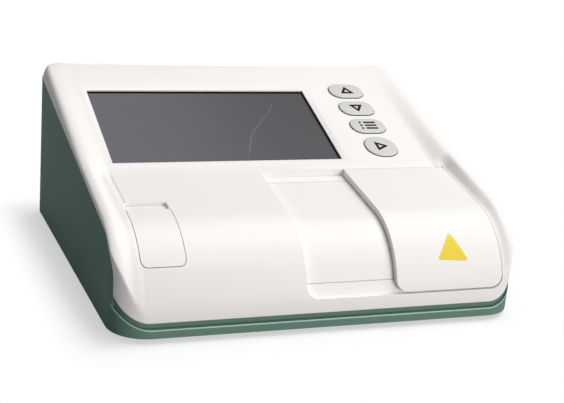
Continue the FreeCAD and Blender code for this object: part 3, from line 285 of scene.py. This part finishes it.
def brick(start, low, high, skin=0.0):
    """A closed box between two corners measured from start, as eight points and six faces. The skin widens it
    on every side but its root, the side of low y."""
    low = np.asarray(start) + low - (skin, 0, skin)
    high = np.asarray(start) + high + skin
    corners = np.stack(np.meshgrid(*zip(low, high), indexing="ij"), axis=-1).reshape(-1, 3)
    faces = [[0, 1, 3, 2], [4, 6, 7, 5], [0, 4, 5, 1], [2, 3, 7, 6], [0, 2, 6, 4], [1, 5, 7, 3]]
    return corners, faces


def turned(radii, heights, base, axis, sides=24):
    """A closed surface of revolution: each radius at its height along the axis, turned about it from base."""
    base, axis = np.asarray(base, float), np.asarray(axis, float)
    across = np.cross(axis, [0.3, 0.5, 0.81])
    across /= np.linalg.norm(across)
    aside = np.cross(axis, across)
    turn = np.linspace(0, 2 * np.pi, sides, endpoint=False)
    spokes = np.cos(turn)[:, None] * across + np.sin(turn)[:, None] * aside
    radii, heights = np.asarray(radii, float), np.asarray(heights, float)
    points = base + heights[:, None, None] * axis + radii[:, None, None] * spokes
    return points, grid_faces(len(radii), sides, wrap_columns=True)


def plate(outline, place, low, high, rings=6):
    """A thin closed plate: rings of the outline shrink linearly to its middle on the upper and lower face."""
    middle = outline.mean(0)
    share = np.concatenate([np.linspace(0, 1, rings), np.linspace(1, 0, rings)])
    lift = np.concatenate([np.full(rings, high), np.full(rings, low)])
    flat = middle + (outline - middle) * share[:, None, None]
    points = place(flat[..., 0], flat[..., 1], lift[:, None])
    return points, grid_faces(2 * rings, len(outline), wrap_columns=True)


def band(outer, inner, place, low, high):
    """A closed ribbon between two outlines with equal counts: four corners carried round the outlines."""
    rail = np.stack([inner, outer, outer, inner])
    lift = np.array([high, high, low, low])[:, None]
    points = place(rail[..., 0], rail[..., 1], lift)
    return points, grid_faces(4, len(outer), wrap_rows=True, wrap_columns=True)


# Materials

def material(name):
    """A new node material and its principled shader."""
    finish = bpy.data.materials.new(name)
    finish.use_nodes = True
    return finish, finish.node_tree.nodes["Principled BSDF"]


def object_noise(finish, scale, detail=2.0):
    """Noise on object coordinates. Scale is in waves per metre."""
    nodes = finish.node_tree.nodes
    links = finish.node_tree.links
    place = nodes.new("ShaderNodeTexCoord")
    noise = nodes.new("ShaderNodeTexNoise")
    noise.inputs["Scale"].default_value = scale
    noise.inputs["Detail"].default_value = detail
    noise.inputs["Roughness"].default_value = 0.55
    links.new(place.outputs["Object"], noise.inputs["Vector"])
    return noise.outputs["Fac"]


def object_axes(finish):
    """The object coordinates in metres, as one output for each axis."""
    nodes = finish.node_tree.nodes
    place = nodes.new("ShaderNodeTexCoord")
    split = nodes.new("ShaderNodeSeparateXYZ")
    finish.node_tree.links.new(place.outputs["Object"], split.inputs["Vector"])
    return split.outputs


def console_axes(finish):
    """Object coordinates turned into the console's plane, as outputs across it, up its slope and along its
    normal."""
    nodes = finish.node_tree.nodes
    links = finish.node_tree.links
    place = nodes.new("ShaderNodeTexCoord")
    turn = nodes.new("ShaderNodeMapping")
    turn.vector_type = "TEXTURE"
    turn.inputs["Location"].default_value = Vector(CREASE * MM)
    turn.inputs["Rotation"].default_value = (CONSOLE_TILT, 0, 0)
    split = nodes.new("ShaderNodeSeparateXYZ")
    links.new(place.outputs["Object"], turn.inputs["Vector"])
    links.new(turn.outputs["Vector"], split.inputs["Vector"])
    return split.outputs


def mapped(finish, value, low, high):
    """The value from 0 to 1 mapped to low to high."""
    spread = finish.node_tree.nodes.new("ShaderNodeMapRange")
    spread.inputs["To Min"].default_value = low
    spread.inputs["To Max"].default_value = high
    finish.node_tree.links.new(value, spread.inputs["Value"])
    return spread.outputs["Result"]


def ramp_between(finish, value, start, end):
    """The value's way from start to end, both in millimetres, from 0 to 1, eased at both ends."""
    spread = finish.node_tree.nodes.new("ShaderNodeMapRange")
    spread.interpolation_type = "SMOOTHSTEP"
    spread.inputs["From Min"].default_value = start * MM
    spread.inputs["From Max"].default_value = end * MM
    finish.node_tree.links.new(value, spread.inputs["Value"])
    return spread.outputs["Result"]


def arithmetic(finish, operation, first, second=0.0):
    """One arithmetic step on one or two values, each a socket or a number."""
    step = finish.node_tree.nodes.new("ShaderNodeMath")
    step.operation = operation
    for socket, value in zip(step.inputs, (first, second)):
        if isinstance(value, (int, float)):
            socket.default_value = value
        else:
            finish.node_tree.links.new(value, socket)
    return step.outputs["Value"]


def distance_past(finish, *values):
    """The distance of a point past some limits: the root of the sum of the squares of the values, where a
    value below zero counts as zero."""
    step = partial(arithmetic, finish)
    square = 0.0
    for value in values:
        square = step("ADD", step("POWER", step("MAXIMUM", value), 2.0), square)
    return step("SQRT", square)


def blended(finish, share, first, second):
    """A colour mixed from first to second by the share; each is a socket or a colour."""
    mix = finish.node_tree.nodes.new("ShaderNodeMix")
    mix.data_type = "RGBA"
    links = finish.node_tree.links
    links.new(share, mix.inputs["Factor"])
    for socket, colour in ((mix.inputs["A"], first), (mix.inputs["B"], second)):
        if isinstance(colour, bpy.types.NodeSocket):
            links.new(colour, socket)
        else:
            socket.default_value = (*colour, 1)
    return mix.outputs["Result"]


def bump(finish, shader, height, strength, distance):
    """Relief from a height. Distance is its depth in millimetres."""
    relief = finish.node_tree.nodes.new("ShaderNodeBump")
    relief.inputs["Strength"].default_value = strength
    relief.inputs["Distance"].default_value = distance * MM
    finish.node_tree.links.new(height, relief.inputs["Height"])
    finish.node_tree.links.new(relief.outputs["Normal"], shader.inputs["Normal"])


def moulded(name, colour, rough, grain=5200.0, depth=0.25, coat=0.0, gloss=0.5):
    """Moulded plastic or rubber: an even colour with faint clouds and a fine spark-eroded grain."""
    finish, shader = material(name)
    links = finish.node_tree.links
    clouds = object_noise(finish, 18.0)
    tone = np.array(colour)
    painted = blended(finish, clouds, tone * 0.985, np.minimum(tone * 1.015, 1.0))
    links.new(painted, shader.inputs["Base Color"])
    fine = object_noise(finish, grain)
    links.new(mapped(finish, fine, rough - 0.04, rough + 0.04), shader.inputs["Roughness"])
    shader.inputs["Coat Weight"].default_value = coat
    shader.inputs["Specular IOR Level"].default_value = gloss
    bump(finish, shader, fine, depth, 0.03)
    return finish


def metal(name, colour, rough, stretch=(1.0, 1.0, 1.0)):
    """Metal with a fine drawn or machined grain, stretched along one axis."""
    finish, shader = material(name)
    nodes = finish.node_tree.nodes
    links = finish.node_tree.links
    place = nodes.new("ShaderNodeTexCoord")
    turn = nodes.new("ShaderNodeMapping")
    turn.inputs["Scale"].default_value = stretch
    noise = nodes.new("ShaderNodeTexNoise")
    noise.inputs["Scale"].default_value = 1500.0
    links.new(place.outputs["Object"], turn.inputs["Vector"])
    links.new(turn.outputs["Vector"], noise.inputs["Vector"])
    grain = noise.outputs["Fac"]
    tone = np.array(colour)
    painted = blended(finish, grain, tone * 0.9, np.minimum(tone * 1.08, 1.0))
    links.new(painted, shader.inputs["Base Color"])
    links.new(mapped(finish, grain, rough - 0.06, rough + 0.08), shader.inputs["Roughness"])
    shader.inputs["Metallic"].default_value = 1.0
    bump(finish, shader, grain, 0.15, 0.02)
    return finish


def window_glass():
    """Clear glass with faint waves."""
    finish, shader = material("clear windows")
    shader.inputs["Transmission Weight"].default_value = 0.9
    shader.inputs["Roughness"].default_value = 0.03
    bump(finish, shader, object_noise(finish, 900.0, 3.0), 0.02, 0.01)
    return finish


def colour_so_far(finish):
    """A finish's shader, and the socket of the colour that it wears so far."""
    shader = finish.node_tree.nodes["Principled BSDF"]
    return shader, shader.inputs["Base Color"].links[0].from_socket


def dark_screen(settings):
    """The unlit display behind satin glass: a grey field that darkens to the right, a faint wavy streak
    across it, whose place is a straight line less a raised cosine, and black painted shade of the gap
    between glass and bezel along its upper and right edges."""
    finish, shader = material("satin display front")
    step = partial(arithmetic, finish)
    across, up, _ = console_axes(finish)
    ramp = partial(ramp_between, finish)
    field = blended(finish, ramp(across, *FIELD_ENDS), settings.screen_left, settings.screen_right)
    turn = step("MULTIPLY", step("SUBTRACT", up, WAVE_CREST * MM), 2 * np.pi / (WAVE_LENGTH * MM))
    wave = step("MULTIPLY", step("ADD", step("COSINE", turn), 1.0), settings.streak_wave * MM / 2)
    line = step("SUBTRACT", step("MULTIPLY", up, settings.streak_slope), wave)
    off = step("ABSOLUTE", step("SUBTRACT", step("SUBTRACT", across, settings.streak_foot * MM), line))
    streak = ramp(off, settings.streak_wide, 0.0)
    reach = step("MULTIPLY", ramp(up, *STREAK_START), ramp(up, *STREAK_END[::-1]))
    share = step("MULTIPLY", step("MULTIPLY", streak, reach), STREAK_SHARE)
    lit = blended(finish, share, field, STREAK_TONE)
    # Black painted shade of the gap between glass and bezel along the upper and right edges
    top = ramp(up, settings.field_top, settings.field_top + SHADE_STRIP_RAMP)
    right = ramp(across, settings.field_right, settings.field_right + SHADE_STRIP_RAMP)
    painted = blended(finish, step("MAXIMUM", top, right), lit, SHADE_STRIP_TONE)
    finish.node_tree.links.new(painted, shader.inputs["Base Color"])
    shader.inputs["Roughness"].default_value = 0.34
    shader.inputs["Specular IOR Level"].default_value = 0.3
    bump(finish, shader, object_noise(finish, 4000.0), 0.06, 0.02)
    return finish


def key_silicone(settings):
    """Grey silicone with painted shade on its skirt where it goes down into the gap."""
    finish = moulded("grey silicone keys", settings.grey, 0.5, 3500.0, 0.3)
    shader, plain = colour_so_far(finish)
    lift = console_axes(finish)[2]
    # Painted shade, near black, on the key's skirt in the gap
    painted = blended(finish, ramp_between(finish, lift, *SKIRT_END), (0.05, 0.05, 0.05), plain)
    finish.node_tree.links.new(painted, shader.inputs["Base Color"])
    return finish


def stepped_green(settings):
    """The base's green, with a painted highlight on the edge of its step and painted shade on the groove
    above it.
    Seen from the front the step is level and turns up round a quarter circle at each end, so it lies where
    the distance from that circle's centre, taken only outwards and downwards, equals its radius."""
    finish = moulded("green satin base", settings.green, settings.satin + 0.08, gloss=0.05)
    step = partial(arithmetic, finish)
    ramp = partial(ramp_between, finish)
    shader, plain = colour_so_far(finish)
    x, y, z = object_axes(finish)
    outwards = step("SUBTRACT", step("ABSOLUTE", x), STEP_CENTRE[0] * MM)
    downwards = step("SUBTRACT", STEP_CENTRE[1] * MM, z)
    reach = step("SUBTRACT", distance_past(finish, outwards, downwards), STEP_RADIUS * MM)
    # The painted highlight just below the step's edge, and the painted shade on its ledge, both only at the
    # front
    line = step("MULTIPLY", ramp(reach, *GROOVE_END), ramp(reach, *EDGE_END[::-1]))
    ledge_shade = ramp(step("ABSOLUTE", reach), *GROOVE_END[::-1])
    front = ramp(y, *FRONT_END[::-1])
    groove = np.array(settings.green) * GROOVE_SHADE
    shade = blended(finish, step("MULTIPLY", ledge_shade, front), plain, groove)
    share = step("MULTIPLY", step("MULTIPLY", line, front), EDGE_SHARE)
    finish.node_tree.links.new(blended(finish, share, shade, settings.edge), shader.inputs["Base Color"])
    return finish


def white_seen(finish, rays):
    """How much of the white background a ray sees: all of it through glass and straight from the camera, and
    part of it in a gloss."""
    step = partial(arithmetic, finish)
    straight = step("MAXIMUM", rays.outputs["Is Camera Ray"], rays.outputs["Is Transmission Ray"])
    return step("MAXIMUM", straight, step("MULTIPLY", rays.outputs["Is Glossy Ray"], GLOSS_SHARE))


def pale_floor():
    """A floor that keeps the object's shadow and turns as white as the background away from it: the share of
    its glow grows with the distance from the object's box."""
    finish, shader = material("pale floor")
    step = partial(arithmetic, finish)
    nodes = finish.node_tree.nodes
    links = finish.node_tree.links
    shader.inputs["Roughness"].default_value = 0.9
    shader.inputs["Specular IOR Level"].default_value = 0.1
    glow = nodes.new("ShaderNodeEmission")
    glow.inputs["Strength"].default_value = 1.0
    rays = nodes.new("ShaderNodeLightPath")
    links.new(blended(finish, rays.outputs["Is Camera Ray"], FLOOR_BOUNCED, FLOOR_SEEN),
              shader.inputs["Base Color"])
    x, y, _ = object_axes(finish)
    past_side = step("SUBTRACT", step("ABSOLUTE", x), CAD_BOX[1][0])
    past_end = step("SUBTRACT", step("ABSOLUTE", y), CAD_BOX[1][1])
    away = ramp_between(finish, distance_past(finish, past_side, past_end), 0.0, FLOOR_FAR)
    share = step("MULTIPLY", white_seen(finish, rays), mapped(finish, away, FLOOR_NEAR, 1.0))
    mix = nodes.new("ShaderNodeMixShader")
    links.new(share, mix.inputs["Fac"])
    links.new(shader.outputs["BSDF"], mix.inputs[1])
    links.new(glow.outputs["Emission"], mix.inputs[2])
    links.new(mix.outputs["Shader"], nodes["Material Output"].inputs["Surface"])
    return finish


def finish_node(name, surface, smooth_angle=28.0):
    """Gives a CAD node its material and smooth faces, with creases kept where faces meet at an angle."""
    thing = NODES[name]
    thing.data.materials.clear()
    thing.data.materials.append(surface)
    thing.data.polygons.foreach_set("use_smooth", np.full(len(thing.data.polygons), True))
    weld = thing.modifiers.new("Weld", "WELD")
    weld.merge_threshold = 0.00001
    crease = thing.modifiers.new("Creases", "EDGE_SPLIT")
    crease.split_angle = np.radians(smooth_angle)
    return thing


# Settings

class HousingSettings(bpy.types.PropertyGroup):
    white: bpy.props.FloatVectorProperty(name="Shell colour", description="Colour of the top housing",
                                         subtype="COLOR", size=3, default=(0.91, 0.878, 0.855))
    green: bpy.props.FloatVectorProperty(name="Base colour", description="Colour of the base housing",
                                         subtype="COLOR", size=3, default=(0.150, 0.248, 0.198))
    # The step colour is painted highlight along the edge of the base's step
    edge: bpy.props.FloatVectorProperty(name="Step colour", subtype="COLOR", size=3,
                                        description="Colour of the base's highlit step edge",
                                        default=(0.56, 0.80, 0.67))
    satin: bpy.props.FloatProperty(name="Satin", description="Roughness of the moulded housing",
                                   default=0.48, min=0.1, max=1.0)


class ScreenSettings(bpy.types.PropertyGroup):
    screen_left: bpy.props.FloatVectorProperty(name="Left tone", description="Tone of the screen's left end",
                                               subtype="COLOR", size=3, default=(0.119, 0.120, 0.138))
    screen_right: bpy.props.FloatVectorProperty(name="Right tone", subtype="COLOR", size=3,
                                                description="Tone of the screen's right end",
                                                default=(0.056, 0.057, 0.063))
    # Field top and field right are where the painted shade of the gap between glass and bezel starts
    field_top: bpy.props.FloatProperty(
        name="Field top", description="Where the black upper shade_strip starts, along the console, in mm",
        default=94.0)
    field_right: bpy.props.FloatProperty(name="Field right", default=47.6,
                                         description="Where the black right shade_strip starts, in mm")
    streak_foot: bpy.props.FloatProperty(name="Streak foot", description="Low end of the streak, in mm",
                                         default=-24.5)
    streak_slope: bpy.props.FloatProperty(name="Streak slope", description="How far the streak leans",
                                          default=0.58)
    streak_wave: bpy.props.FloatProperty(name="Streak wave", description="How far the streak bows, in mm",
                                         default=4.5)
    streak_wide: bpy.props.FloatProperty(name="Streak width", description="Half width of the streak, in mm",
                                         default=1.1)


class KeySettings(bpy.types.PropertyGroup):
    grey: bpy.props.FloatVectorProperty(name="Key colour", description="Colour of the silicone keys",
                                        subtype="COLOR", size=3, default=(0.62, 0.61, 0.59))
    line: bpy.props.FloatProperty(name="Sign line", description="Line width of the signs on the keys, in mm",
                                  default=1.9, min=0.3, max=2.5)
    side: bpy.props.FloatProperty(name="Sign size", description="Side of the arrow signs, in mm",
                                  default=10.4, min=3.0, max=14.0)


class StageSettings(bpy.types.PropertyGroup):
    floor_side: bpy.props.FloatProperty(name="Floor side", description="Side of the square floor",
                                        default=8.0, min=1.0, unit="LENGTH")


# Operators

class HousingFinish(bpy.types.Operator):
    """Finish the top housing, the base, the cover and the flap"""
    bl_idname = "analyzer.housing"
    bl_label = "Housing"

    def execute(self, context):
        settings = context.scene.analyzer_housing
        white = moulded("white satin housing", settings.white, settings.satin, gloss=0.32)
        for name in ("top_shell", "sliding_cover", "slot_flap"):
            finish_node(name, white, 36.0)
        finish_node("base_shell", stepped_green(settings))
        self.dark_mouldings()
        self.metals()
        self.inner_pieces()
        return {"FINISHED"}

    def dark_mouldings(self):
        """The black plastic pieces and the rubber feet."""
        black = moulded("black runner plastic", (0.03, 0.03, 0.03), 0.5)
        for name in ("cover_runner_back", "cover_runner_front", "optics_block", "code_socket", "code_key",
                     "key_switches", "power_inlet", "switch_housing", "switch_rocker"):
            finish_node(name, black)
        feet = moulded("black rubber feet", (0.035, 0.035, 0.035), 0.75, 2500.0, 0.4)
        for name in ("foot_back_left", "foot_back_right", "foot_front_left", "foot_front_right"):
            finish_node(name, feet)

    def metals(self):
        """The drawn, plated and machined metal pieces."""
        steel = metal("drawn steel", (0.6, 0.6, 0.6), 0.34, (0.1, 1.0, 1.0))
        for name in ("display_frame", "flap_pin", "data_ports", "serial_port"):
            finish_node(name, steel)
        zinc = metal("zinc screws", (0.52, 0.52, 0.52), 0.3)
        for name in ("display_screws", "housing_screws"):
            finish_node(name, zinc)
        alloy = metal("machined alloy", (0.7, 0.7, 0.71), 0.28, (1.0, 0.08, 1.0))
        finish_node("stage_heater", alloy)

    def inner_pieces(self):
        """The boards, and the strip stage with its windows."""
        laminate = moulded("green laminate", (0.02, 0.10, 0.045), 0.35, 3000.0, 0.15, 0.4)
        for name in ("key_board", "optics_board", "main_board"):
            finish_node(name, laminate)
        dark = moulded("dark grey stage", (0.09, 0.09, 0.095), 0.5)
        finish_node("strip_stage", dark)
        finish_node("stage_windows", window_glass())


class ScreenFinish(bpy.types.Operator):
    """Finish the screen and its gasket"""
    bl_idname = "analyzer.screen"
    bl_label = "Screen"

    def execute(self, context):
        finish_node("display_glass", dark_screen(context.scene.analyzer_screen))
        gasket = moulded("black foam gasket", (0.015, 0.015, 0.015), 0.8, 1500.0, 0.5)
        finish_node("display_gasket", gasket)
        panel = moulded("black display module", (0.02, 0.02, 0.022), 0.25)
        finish_node("display_panel", panel)
        return {"FINISHED"}


class KeyFinish(bpy.types.Operator):
    """Finish the keys and print their signs"""
    bl_idname = "analyzer.keys"
    bl_label = "Keys"

    def execute(self, context):
        settings = context.scene.analyzer_keys
        silicone = key_silicone(settings)
        ink = moulded("black key ink", (0.006, 0.006, 0.006), 0.6, gloss=0.1)
        # Black for the painted shade in the gap round each key
        foam = moulded("black key seal", (0.012, 0.012, 0.012), 0.8)
        bodies = {"key_up": "up_button", "key_down": "down_button", "key_list": "list_button",
                  "key_next": "next_button"}
        for name, (x, up) in KEYS.items():
            finish_node(name, silicone, 40.0)
            place = self.placer(x, up)
            # A black ring of painted shade in the gap round the key, riding on the housing
            ring = build(name + "_seal", [self.gap_shade_ring(name, place)], foam)
            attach(ring, "housing")
            parts = [self.arrow(name, place, settings)] if name in ARROW_TURNS else self.list_rows(place)
            sign = build(name + "_sign", parts, ink)
            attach(sign, bodies[name])
        return {"FINISHED"}

    def placer(self, x, up):
        """A function that puts points on the console, measured from the point x across and up its slope."""
        def place(across, along, lift):
            return console_points(x + across, up + along, lift)

        return place

    def gap_shade_ring(self, name, place):
        """Painted shade in the gap round a key: a black ribbon between the key's side and the housing's."""
        wide, tall, corner = KEY_SIZES[name]
        rails = []
        for grow in (KEY_GAP - GAP_SHADE_OUTSIDE, GAP_SHADE_INSIDE):
            half = np.array([wide / 2 + grow, tall / 2 + grow])
            corners = np.array(oblong((-1, 1), -1, 1)) * half
            rails.append(rounded_corners(corners, corner + grow - ROUND_SLACK, 13))
        return band(*rails, place, *GAP_SHADE_DEPTHS)

    def arrow(self, name, place, settings):
        """An open arrow: a ribbon between the turned triangle and the same one with its sides moved in."""
        turn = np.radians(ARROW_TURNS[name])
        spin = np.array([[np.cos(turn), np.sin(turn)], [-np.sin(turn), np.cos(turn)]])
        corners = ARROW_UP @ spin * settings.side
        outer = rounded_corners(corners, 0.5)
        inner = rounded_corners(shrunk(corners, settings.line), 0.15)
        return band(outer, inner, place, KEY_TOP + INK[0], KEY_TOP + INK[1])

    def list_rows(self, place):
        """The list sign: three rows of a bar and a dot, as small plates."""
        parts = []
        for height in (-LIST_PITCH, 0.0, LIST_PITCH):
            for ends in (LIST_BAR, LIST_DOT):
                outline = rounded_corners(oblong(ends, height - LIST_HALF, height + LIST_HALF), 0.35)
                parts.append(plate(outline, place, KEY_TOP + INK[0], KEY_TOP + INK[1], 3))
        return parts


class MarkFinish(bpy.types.Operator):
    """Lay the plain yellow triangle on the cover"""
    bl_idname = "analyzer.mark"
    bl_label = "Yellow triangle"

    def execute(self, context):
        yellow = moulded("yellow film", (0.84, 0.64, 0.022), 0.4, 2500.0, 0.1, 0.15)
        outline = even(rounded_corners(TRIANGLE, 0.9, 9))
        film = plate(outline, self.place, -0.02, 0.1, 24)
        triangle = build("yellow_triangle", [film], yellow, smooth=True)
        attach(triangle, "cover")
        return {"FINISHED"}

    def place(self, across, along, lift):
        """Puts points on the cover's face, measured from the triangle's middle."""
        return shoulder_points(TRIANGLE_ACROSS + across, -along, lift, TRIANGLE_HEIGHT)


class ConnectorFinish(bpy.types.Operator):
    """Fit the blades, tongues and pins of the rear connectors, and print the rocker's signs"""
    bl_idname = "analyzer.connectors"
    bl_label = "Connectors"

    def execute(self, context):
        self.blades(*self.corners(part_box("power_inlet")))
        self.tongues(*self.corners(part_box("data_ports")))
        self.serial_pins(*self.corners(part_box("serial_port")))
        self.rocker_signs(*self.corners(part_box("switch_rocker")))
        return {"FINISHED"}

    def corners(self, box):
        """A box's low and high corner in millimetres."""
        return [np.array(corner) / MM for corner in box]

    def blades(self, low, high):
        """The three blades of the mains inlet."""
        middle, level = (low[0] + high[0]) / 2, (low[2] + high[2]) / 2
        parts = [brick((middle + side, low[1], level + up), *BLADE, SKIN) for side, up in BLADE_PLACES]
        self.add("inlet_blades", parts, metal("nickel plated blades", (0.72, 0.70, 0.66), 0.22))

    def tongues(self, low, high):
        """The tongue in each data port."""
        parts = [brick((start, low[1], low[2]), *TONGUE, SKIN) for start in (low[0], high[0] - PORT_WIDE)]
        self.add("port_tongues", parts, moulded("white tongue plastic", (0.8, 0.8, 0.78), 0.4))

    def serial_pins(self, low, high):
        """The insert on the floor of the serial port, and its two rows of round-nosed pins."""
        middle = (low[0] + high[0]) / 2
        base = high[1] - SERIAL_DEEP
        floor = brick((middle, base, low[2]), *INSERT)
        self.add("serial_insert", [floor], moulded("black insert", (0.02, 0.02, 0.022), 0.5))
        pins = []
        for count, up in PIN_ROWS:
            for index in range(count):
                x = middle + (index - (count - 1) / 2) * PIN_PITCH
                pins.append(turned(PIN_RADII, PIN_HEIGHTS, (x, base, low[2] + up), (0, 1, 0)))
        self.add("serial_pins", pins, metal("gold plated pins", (0.85, 0.62, 0.28), 0.2))

    def rocker_signs(self, low, high):
        """A bar and a ring printed on the rocker, whose face falls straight to a valley at its middle."""
        middle, level = (low[0] + high[0]) / 2, (low[2] + high[2]) / 2
        half = (high[2] - low[2]) / 2

        def place(across, along, lift):
            across, along, lift = np.broadcast_arrays(across, along, lift)
            face = high[1] - ROCKER_VALLEY + ROCKER_VALLEY * np.abs(along) / half
            return np.stack([middle - across, face + lift, level + along], axis=-1)

        turn = np.linspace(0, 2 * np.pi, 32, endpoint=False)
        circle = np.stack([np.cos(turn), np.sin(turn)], axis=1)
        bar = even(rounded_corners(ROCKER_BAR, 0.1, 3), 32)
        outer, inner = (circle * radius + ROCKER_RING for radius in RING_RADII)
        signs = [plate(bar, place, *ROCKER_INK, 3), band(outer, inner, place, *ROCKER_INK)]
        self.add("rocker_signs", signs, moulded("white rocker ink", (0.85, 0.85, 0.85), 0.4), "rocker")

    def add(self, name, parts, surface, body="housing"):
        """A fitted piece that rides on a body."""
        thing = build(name, parts, surface)
        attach(thing, body)


class StageFinish(bpy.types.Operator):
    """Set the floor, the light and the camera"""
    bl_idname = "analyzer.stage"
    bl_label = "Stage"

    def execute(self, context):
        scene = context.scene
        side = scene.analyzer_stage.floor_side / 2 / MM
        reach = np.linspace(-side, side, 3)
        x, y = np.meshgrid(reach, reach, indexing="ij")
        points = np.stack([x, y, np.zeros_like(x)], axis=-1)
        floor = build("floor", [(points, grid_faces(3, 3))], pale_floor())
        self.background(scene)
        self.lamps(scene)
        self.camera(scene)
        return {"FINISHED"}

    def background(self, scene):
        """A white background for the camera, and a weak soft light for everything else."""
        world = bpy.data.worlds.new("studio")
        scene.world = world
        world.use_nodes = True
        nodes = world.node_tree.nodes
        links = world.node_tree.links
        soft = nodes["Background"]
        soft.inputs["Color"].default_value = (0.95, 0.97, 1.0, 1)
        soft.inputs["Strength"].default_value = SOFT_STRENGTH
        white = nodes.new("ShaderNodeBackground")
        white.inputs["Color"].default_value = (1, 1, 1, 1)
        rays = nodes.new("ShaderNodeLightPath")
        mix = nodes.new("ShaderNodeMixShader")
        links.new(white_seen(world, rays), mix.inputs["Fac"])
        links.new(soft.outputs["Background"], mix.inputs[1])
        links.new(white.outputs["Background"], mix.inputs[2])
        links.new(mix.outputs["Shader"], nodes["World Output"].inputs["Surface"])

    def lamps(self, scene):
        """Square lamps that all face the object."""
        for name, place, size, power in LAMPS:
            lamp = bpy.data.lights.new(name, "AREA")
            lamp.size = size
            lamp.energy = power
            holder = bpy.data.objects.new(name, lamp)
            scene.collection.objects.link(holder)
            turn = (LAMP_AIM - Vector(place)).to_track_quat("-Z", "Y")
            holder.matrix_world = Matrix.Translation(place) @ turn.to_matrix().to_4x4()

    def camera(self, scene):
        """The camera of the photograph, from the front left and above."""
        lens = bpy.data.cameras.new("camera")
        lens.sensor_width = 36.0
        lens.lens = 80.69
        lens.shift_x, lens.shift_y = EYE_SHIFT
        lens.clip_end = 50.0
        eye = bpy.data.objects.new("camera", lens)
        scene.collection.objects.link(eye)
        eye.matrix_world = Matrix.Translation(EYE) @ Euler(np.radians(EYE_TURN)).to_matrix().to_4x4()
        scene.camera = eye
        scene.view_settings.view_transform = "Standard"


class AnalyzerPanel(bpy.types.Panel):
    bl_idname = "VIEW3D_PT_analyzer"
    bl_label = "Dry Chemistry Analyzer"
    bl_space_type = "VIEW_3D"
    bl_region_type = "UI"
    bl_category = "Analyzer"

    def draw(self, context):
        for operator in OPERATORS:
            self.layout.operator(operator.bl_idname)
        for group in GROUPS:
            settings = getattr(context.scene, group)
            column = self.layout.column()
            for name in settings.__annotations__:
                column.prop(settings, name)


GROUPS = {"analyzer_housing": HousingSettings, "analyzer_screen": ScreenSettings,
          "analyzer_keys": KeySettings, "analyzer_stage": StageSettings}
OPERATORS = (HousingFinish, ScreenFinish, KeyFinish, MarkFinish, ConnectorFinish, StageFinish)


def register():
    for name, group in GROUPS.items():
        bpy.utils.register_class(group)
        setattr(bpy.types.Scene, name, bpy.props.PointerProperty(type=group))
    for item in (*OPERATORS, AnalyzerPanel):
        bpy.utils.register_class(item)


def unregister():
    for item in reversed((*OPERATORS, AnalyzerPanel)):
        bpy.utils.unregister_class(item)
    for name, group in reversed(GROUPS.items()):
        delattr(bpy.types.Scene, name)
        bpy.utils.unregister_class(group)


def main():
    register()
    bpy.ops.analyzer.housing()
    bpy.ops.analyzer.screen()
    bpy.ops.analyzer.keys()
    bpy.ops.analyzer.mark()
    bpy.ops.analyzer.connectors()
    bpy.ops.analyzer.stage()


if __name__ == "__main__":
    main()
